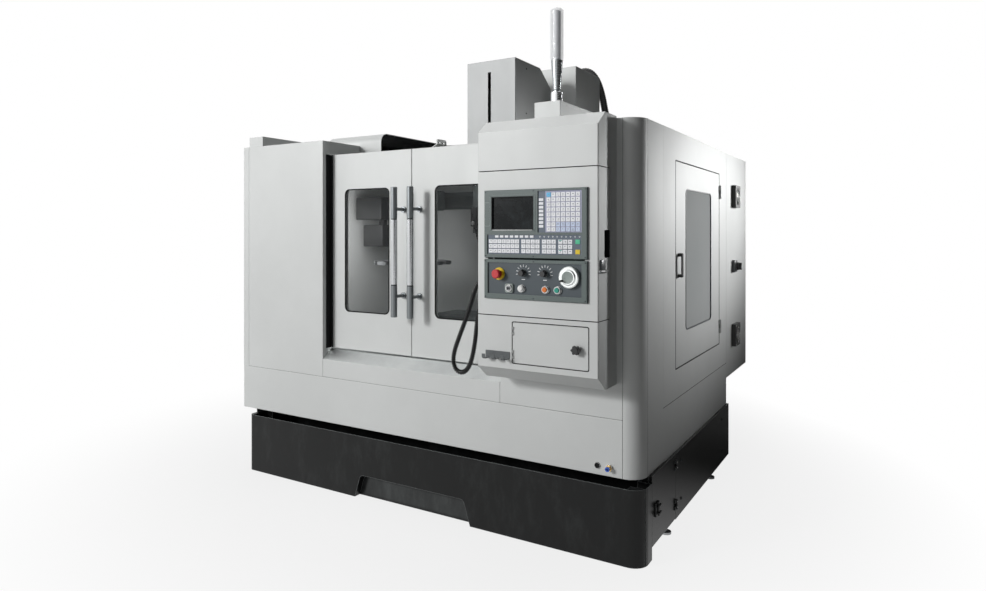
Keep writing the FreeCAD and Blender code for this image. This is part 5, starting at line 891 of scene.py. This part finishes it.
def fit_hatch_trim(finishes):
    """The base hatch's lever lock, and the pins of its hinges."""
    y = FRONT + 158
    shape = bmesh.new()
    block(shape, (SKIRT - 0.5, y - 25, 170), (SKIRT + 7, y + 25, 228), 2)
    block(shape, (SKIRT + 6, y - 9, 180), (SKIRT + 14, y + 9, 218), 2)
    block(shape, (SKIRT + 10, y - 19, 208), (SKIRT + 19, y + 19, 222), 3)
    block(shape, (SKIRT + 10, y - 19, 176), (SKIRT + 19, y + 19, 190), 3)
    finish_piece("hatch_latch", shape, "base_hatch", finishes["black_plastic"])
    shape = bmesh.new()
    r = 2.6
    for z in (110, 136, 296, 322):
        turned(shape, [(0, r * 0.5), (r * 0.5, r * 0.45), (r * 0.9, r * 0.22), (r, -0.2)],
               (SKIRT + 10.2, FRONT + 444.5, z), TO_RIGHT, 12)
    finish_piece("hinge_pins", shape, "machine", finishes["bright_metal"])


# ---------------------------------------------------------------------------- inside, through the windows
def fit_magazine_unit(finishes):
    """The dark boxes behind the tool carousel."""
    shape = bmesh.new()
    block(shape, (-1160, FRONT + 890, 1492), (-930, FRONT + 1180, 1650), 6)
    block(shape, (-1198, FRONT + 960, 1520), (-1158, FRONT + 1100, 1620), 2)
    block(shape, (-1040, FRONT + 1000, 1450), (-1000, FRONT + 1040, 1496), 2)
    block(shape, (-1104, FRONT + 905, 1305), (-930, FRONT + 1130, 1457), 6)
    finish_piece("magazine_air_unit", shape, "machine", finishes["black_plastic"])


def fit_hood_shade_sheets(finishes):
    """Black sheets inside the hood over the magazine: painted shade in its open end."""
    left, right, low, roof = -843, -440, 1895, 1972
    start, end = FRONT + 358, FRONT + 1176
    shape = bmesh.new()
    block(shape, (left, start, roof), (right, end, roof + 4.5), 0.5)
    block(shape, (left, start, low), (left + 4, end, roof + 3), 0.5)
    block(shape, (left, end - 6, low), (right, end, roof + 3), 0.5)
    block(shape, (left, FRONT + 304.5, low), (right, FRONT + 309, low + 27), 0.5)
    finish_piece("hood_shade_sheets", shape, "machine", finishes["rubber"])


def fit_nozzles(finishes):
    """A jointed coolant nozzle on a block at each side of the spindle, with its round valve."""
    out = 128
    shape = bmesh.new()
    for side in (-1, 1):
        block(shape, (side * out - 22, -134, 1440), (side * out + 22, -104.5, 1560), 3)
        line = [Vector((side * (out - 5 * n + n * n * 0.2), -120 + n * 3.2, 1440 - n * 17))
                for n in range(11)]
        for a, b in zip(line, line[1:]):
            turned(shape, [(0, -1), (8.5, 0), (11, 5), (10, 11), (6.5, 15), (0, 16)], a, b - a, 14)
        turned(shape, [(0, 0), (8, 0), (3.5, 26), (2, 26), (2, 20)], line[-1], line[-1] - line[-2], 14)
    finish_piece("coolant_nozzles", shape, "headstock", finishes["black_plastic"])
    shape = bmesh.new()
    for side in (-1, 1):
        turned(shape, [(0, 13), (11, 13), (13, 11), (13, 3), (9, 2), (9, 0)],
               (side * out, -134, 1460), TO_FRONT, 24)
    finish_piece("nozzle_valves", shape, "headstock", finishes["bright_metal"])


# ---------------------------------------------------------------------------- room and lamps
def light_world():
    """A pale room, dim to the right of the front; the eye sees it white."""
    world = bpy.data.worlds.new("pale_studio")
    bpy.context.scene.world = world
    world.use_nodes = True
    room = Graph(world.node_tree)
    eye, shine, through = room.rays()
    way = room.node("ShaderNodeTexCoord", out="Generated")
    aside = room.node("ShaderNodeVectorMath", {"operation": "DOT_PRODUCT"}, {0: way, 1: (0.94, 0.34, 0)},
                      out="Value")
    mirrored = (shine + through).ramp(0, 1, smooth=False)
    plain = (1 - aside.ramp(-0.45, 0.4) * 0.95) * 0.26
    shown = 1 - aside.ramp(-0.15, 0.35) * 0.95
    strength = eye + (1 - eye) * ((1 - mirrored) * plain + mirrored * shown)
    back = room.tree.nodes["Background"]
    back.inputs["Color"].default_value = (1, 1, 1, 1)
    room.tree.links.new(strength.socket, back.inputs["Strength"])


def hang_lamp(name, place, aim, wide, power, cone=None):
    """A square lamp of a width in metres, or a round one whose light keeps to a cone."""
    lamp = bpy.data.lights.new(name, "SPOT" if cone else "AREA")
    if cone:
        lamp.shadow_soft_size = wide / 2
        lamp.spot_size = math.radians(cone)
        lamp.spot_blend = 0.8
    else:
        lamp.size = wide
    lamp.energy = power
    holder = bpy.data.objects.new(name, lamp)
    holder.location = place
    holder.rotation_euler = (Vector(aim) - Vector(place)).to_track_quat("-Z", "Y").to_euler()
    bpy.context.scene.collection.objects.link(holder)


def hang_lamps():
    """The key from the left, a fill beside it, a spot on the right side, one above, one inside."""
    hang_lamp("key_lamp", (-6.7, -12.5, 6.5), (0, -0.9, 1.1), 2.0, 790)
    hang_lamp("fill_lamp", (-4.2, -7.2, 3.2), (0.2, -0.95, 0.6), 2.0, 175)
    hang_lamp("side_lamp", (5.2, 5.4, 2.4), (1.229, 0.4, 1.45), 0.8, 1600, cone=17)
    hang_lamp("top_lamp", (-0.5, 0.5, 6.5), (0, 0, 1.0), 4.0, 105)
    hang_lamp("inner_lamp", (-0.86, -0.42, 1.45), (-1.12, -0.3, 1.3), 0.3, 6)


def floor_finish():
    """Pale and mostly glowing to the eye, darker to the right, and mirrored only ahead of the machine."""
    pale = Finish("pale_floor", Roughness=0.9)
    right = pale.axis("X").ramp(0.4, 1.6)
    cloudy = pale.blend(pale.noise(3, 4), (0.62, 0.62, 0.62, 1), (0.59, 0.59, 0.59, 1))
    pale.feed("Base Color", pale.blend(right, cloudy, (0.2, 0.2, 0.2, 1)))
    glow = pale.node("ShaderNodeEmission")
    eye, shine, through = pale.rays()
    out = pale.node("ShaderNodeVectorMath", {"operation": "LENGTH"}, {0: pale.place((1, 1, 0))},
                    out="Value")
    far = out.ramp(1.4, 3.2)
    ahead = 1 - pale.axis("Y").ramp(-1.2, 0.6)
    share = eye * (0.8 + right * 0.06 + far * 0.2) + (shine + through) * ahead * 0.8
    both = pale.node("ShaderNodeMixShader", {}, {0: share, 1: Value(pale, pale.shader.outputs[0]), 2: glow})
    pale.tree.links.new(both.socket, pale.tree.nodes["Material Output"].inputs["Surface"])
    return pale


def lay_floor():
    half = 30
    shape = bmesh.new()
    bmesh.ops.create_grid(shape, x_segments=1, y_segments=1, size=half)
    mesh = bpy.data.meshes.new("floor")
    shape.to_mesh(mesh)
    shape.free()
    mesh.materials.append(floor_finish().material)
    floor = bpy.data.objects.new("floor", mesh)
    bpy.context.scene.collection.objects.link(floor)


def make_room():
    bpy.context.scene.view_settings.view_transform = "Standard"
    light_world()
    hang_lamps()
    lay_floor()


aim_camera()
finishes = make_finishes()
fit_hoses(finishes)
colour_nodes(finishes)
for fit in (fit_window_gaskets, fit_screws, fit_key_strokes, fit_coloured_keys, fit_panel_marks,
            fit_switch_rings, fit_screen_trim, fit_wheel_trim, fit_door_gap_angle, fit_seam_shade_strips,
            fit_console_seals, fit_side_door_gap_shade, fit_inlet, fit_catch, fit_switch_box, fit_fan_guards,
            fit_hatch_trim, fit_magazine_unit, fit_hood_shade_sheets, fit_nozzles):
    fit(finishes)
make_room()
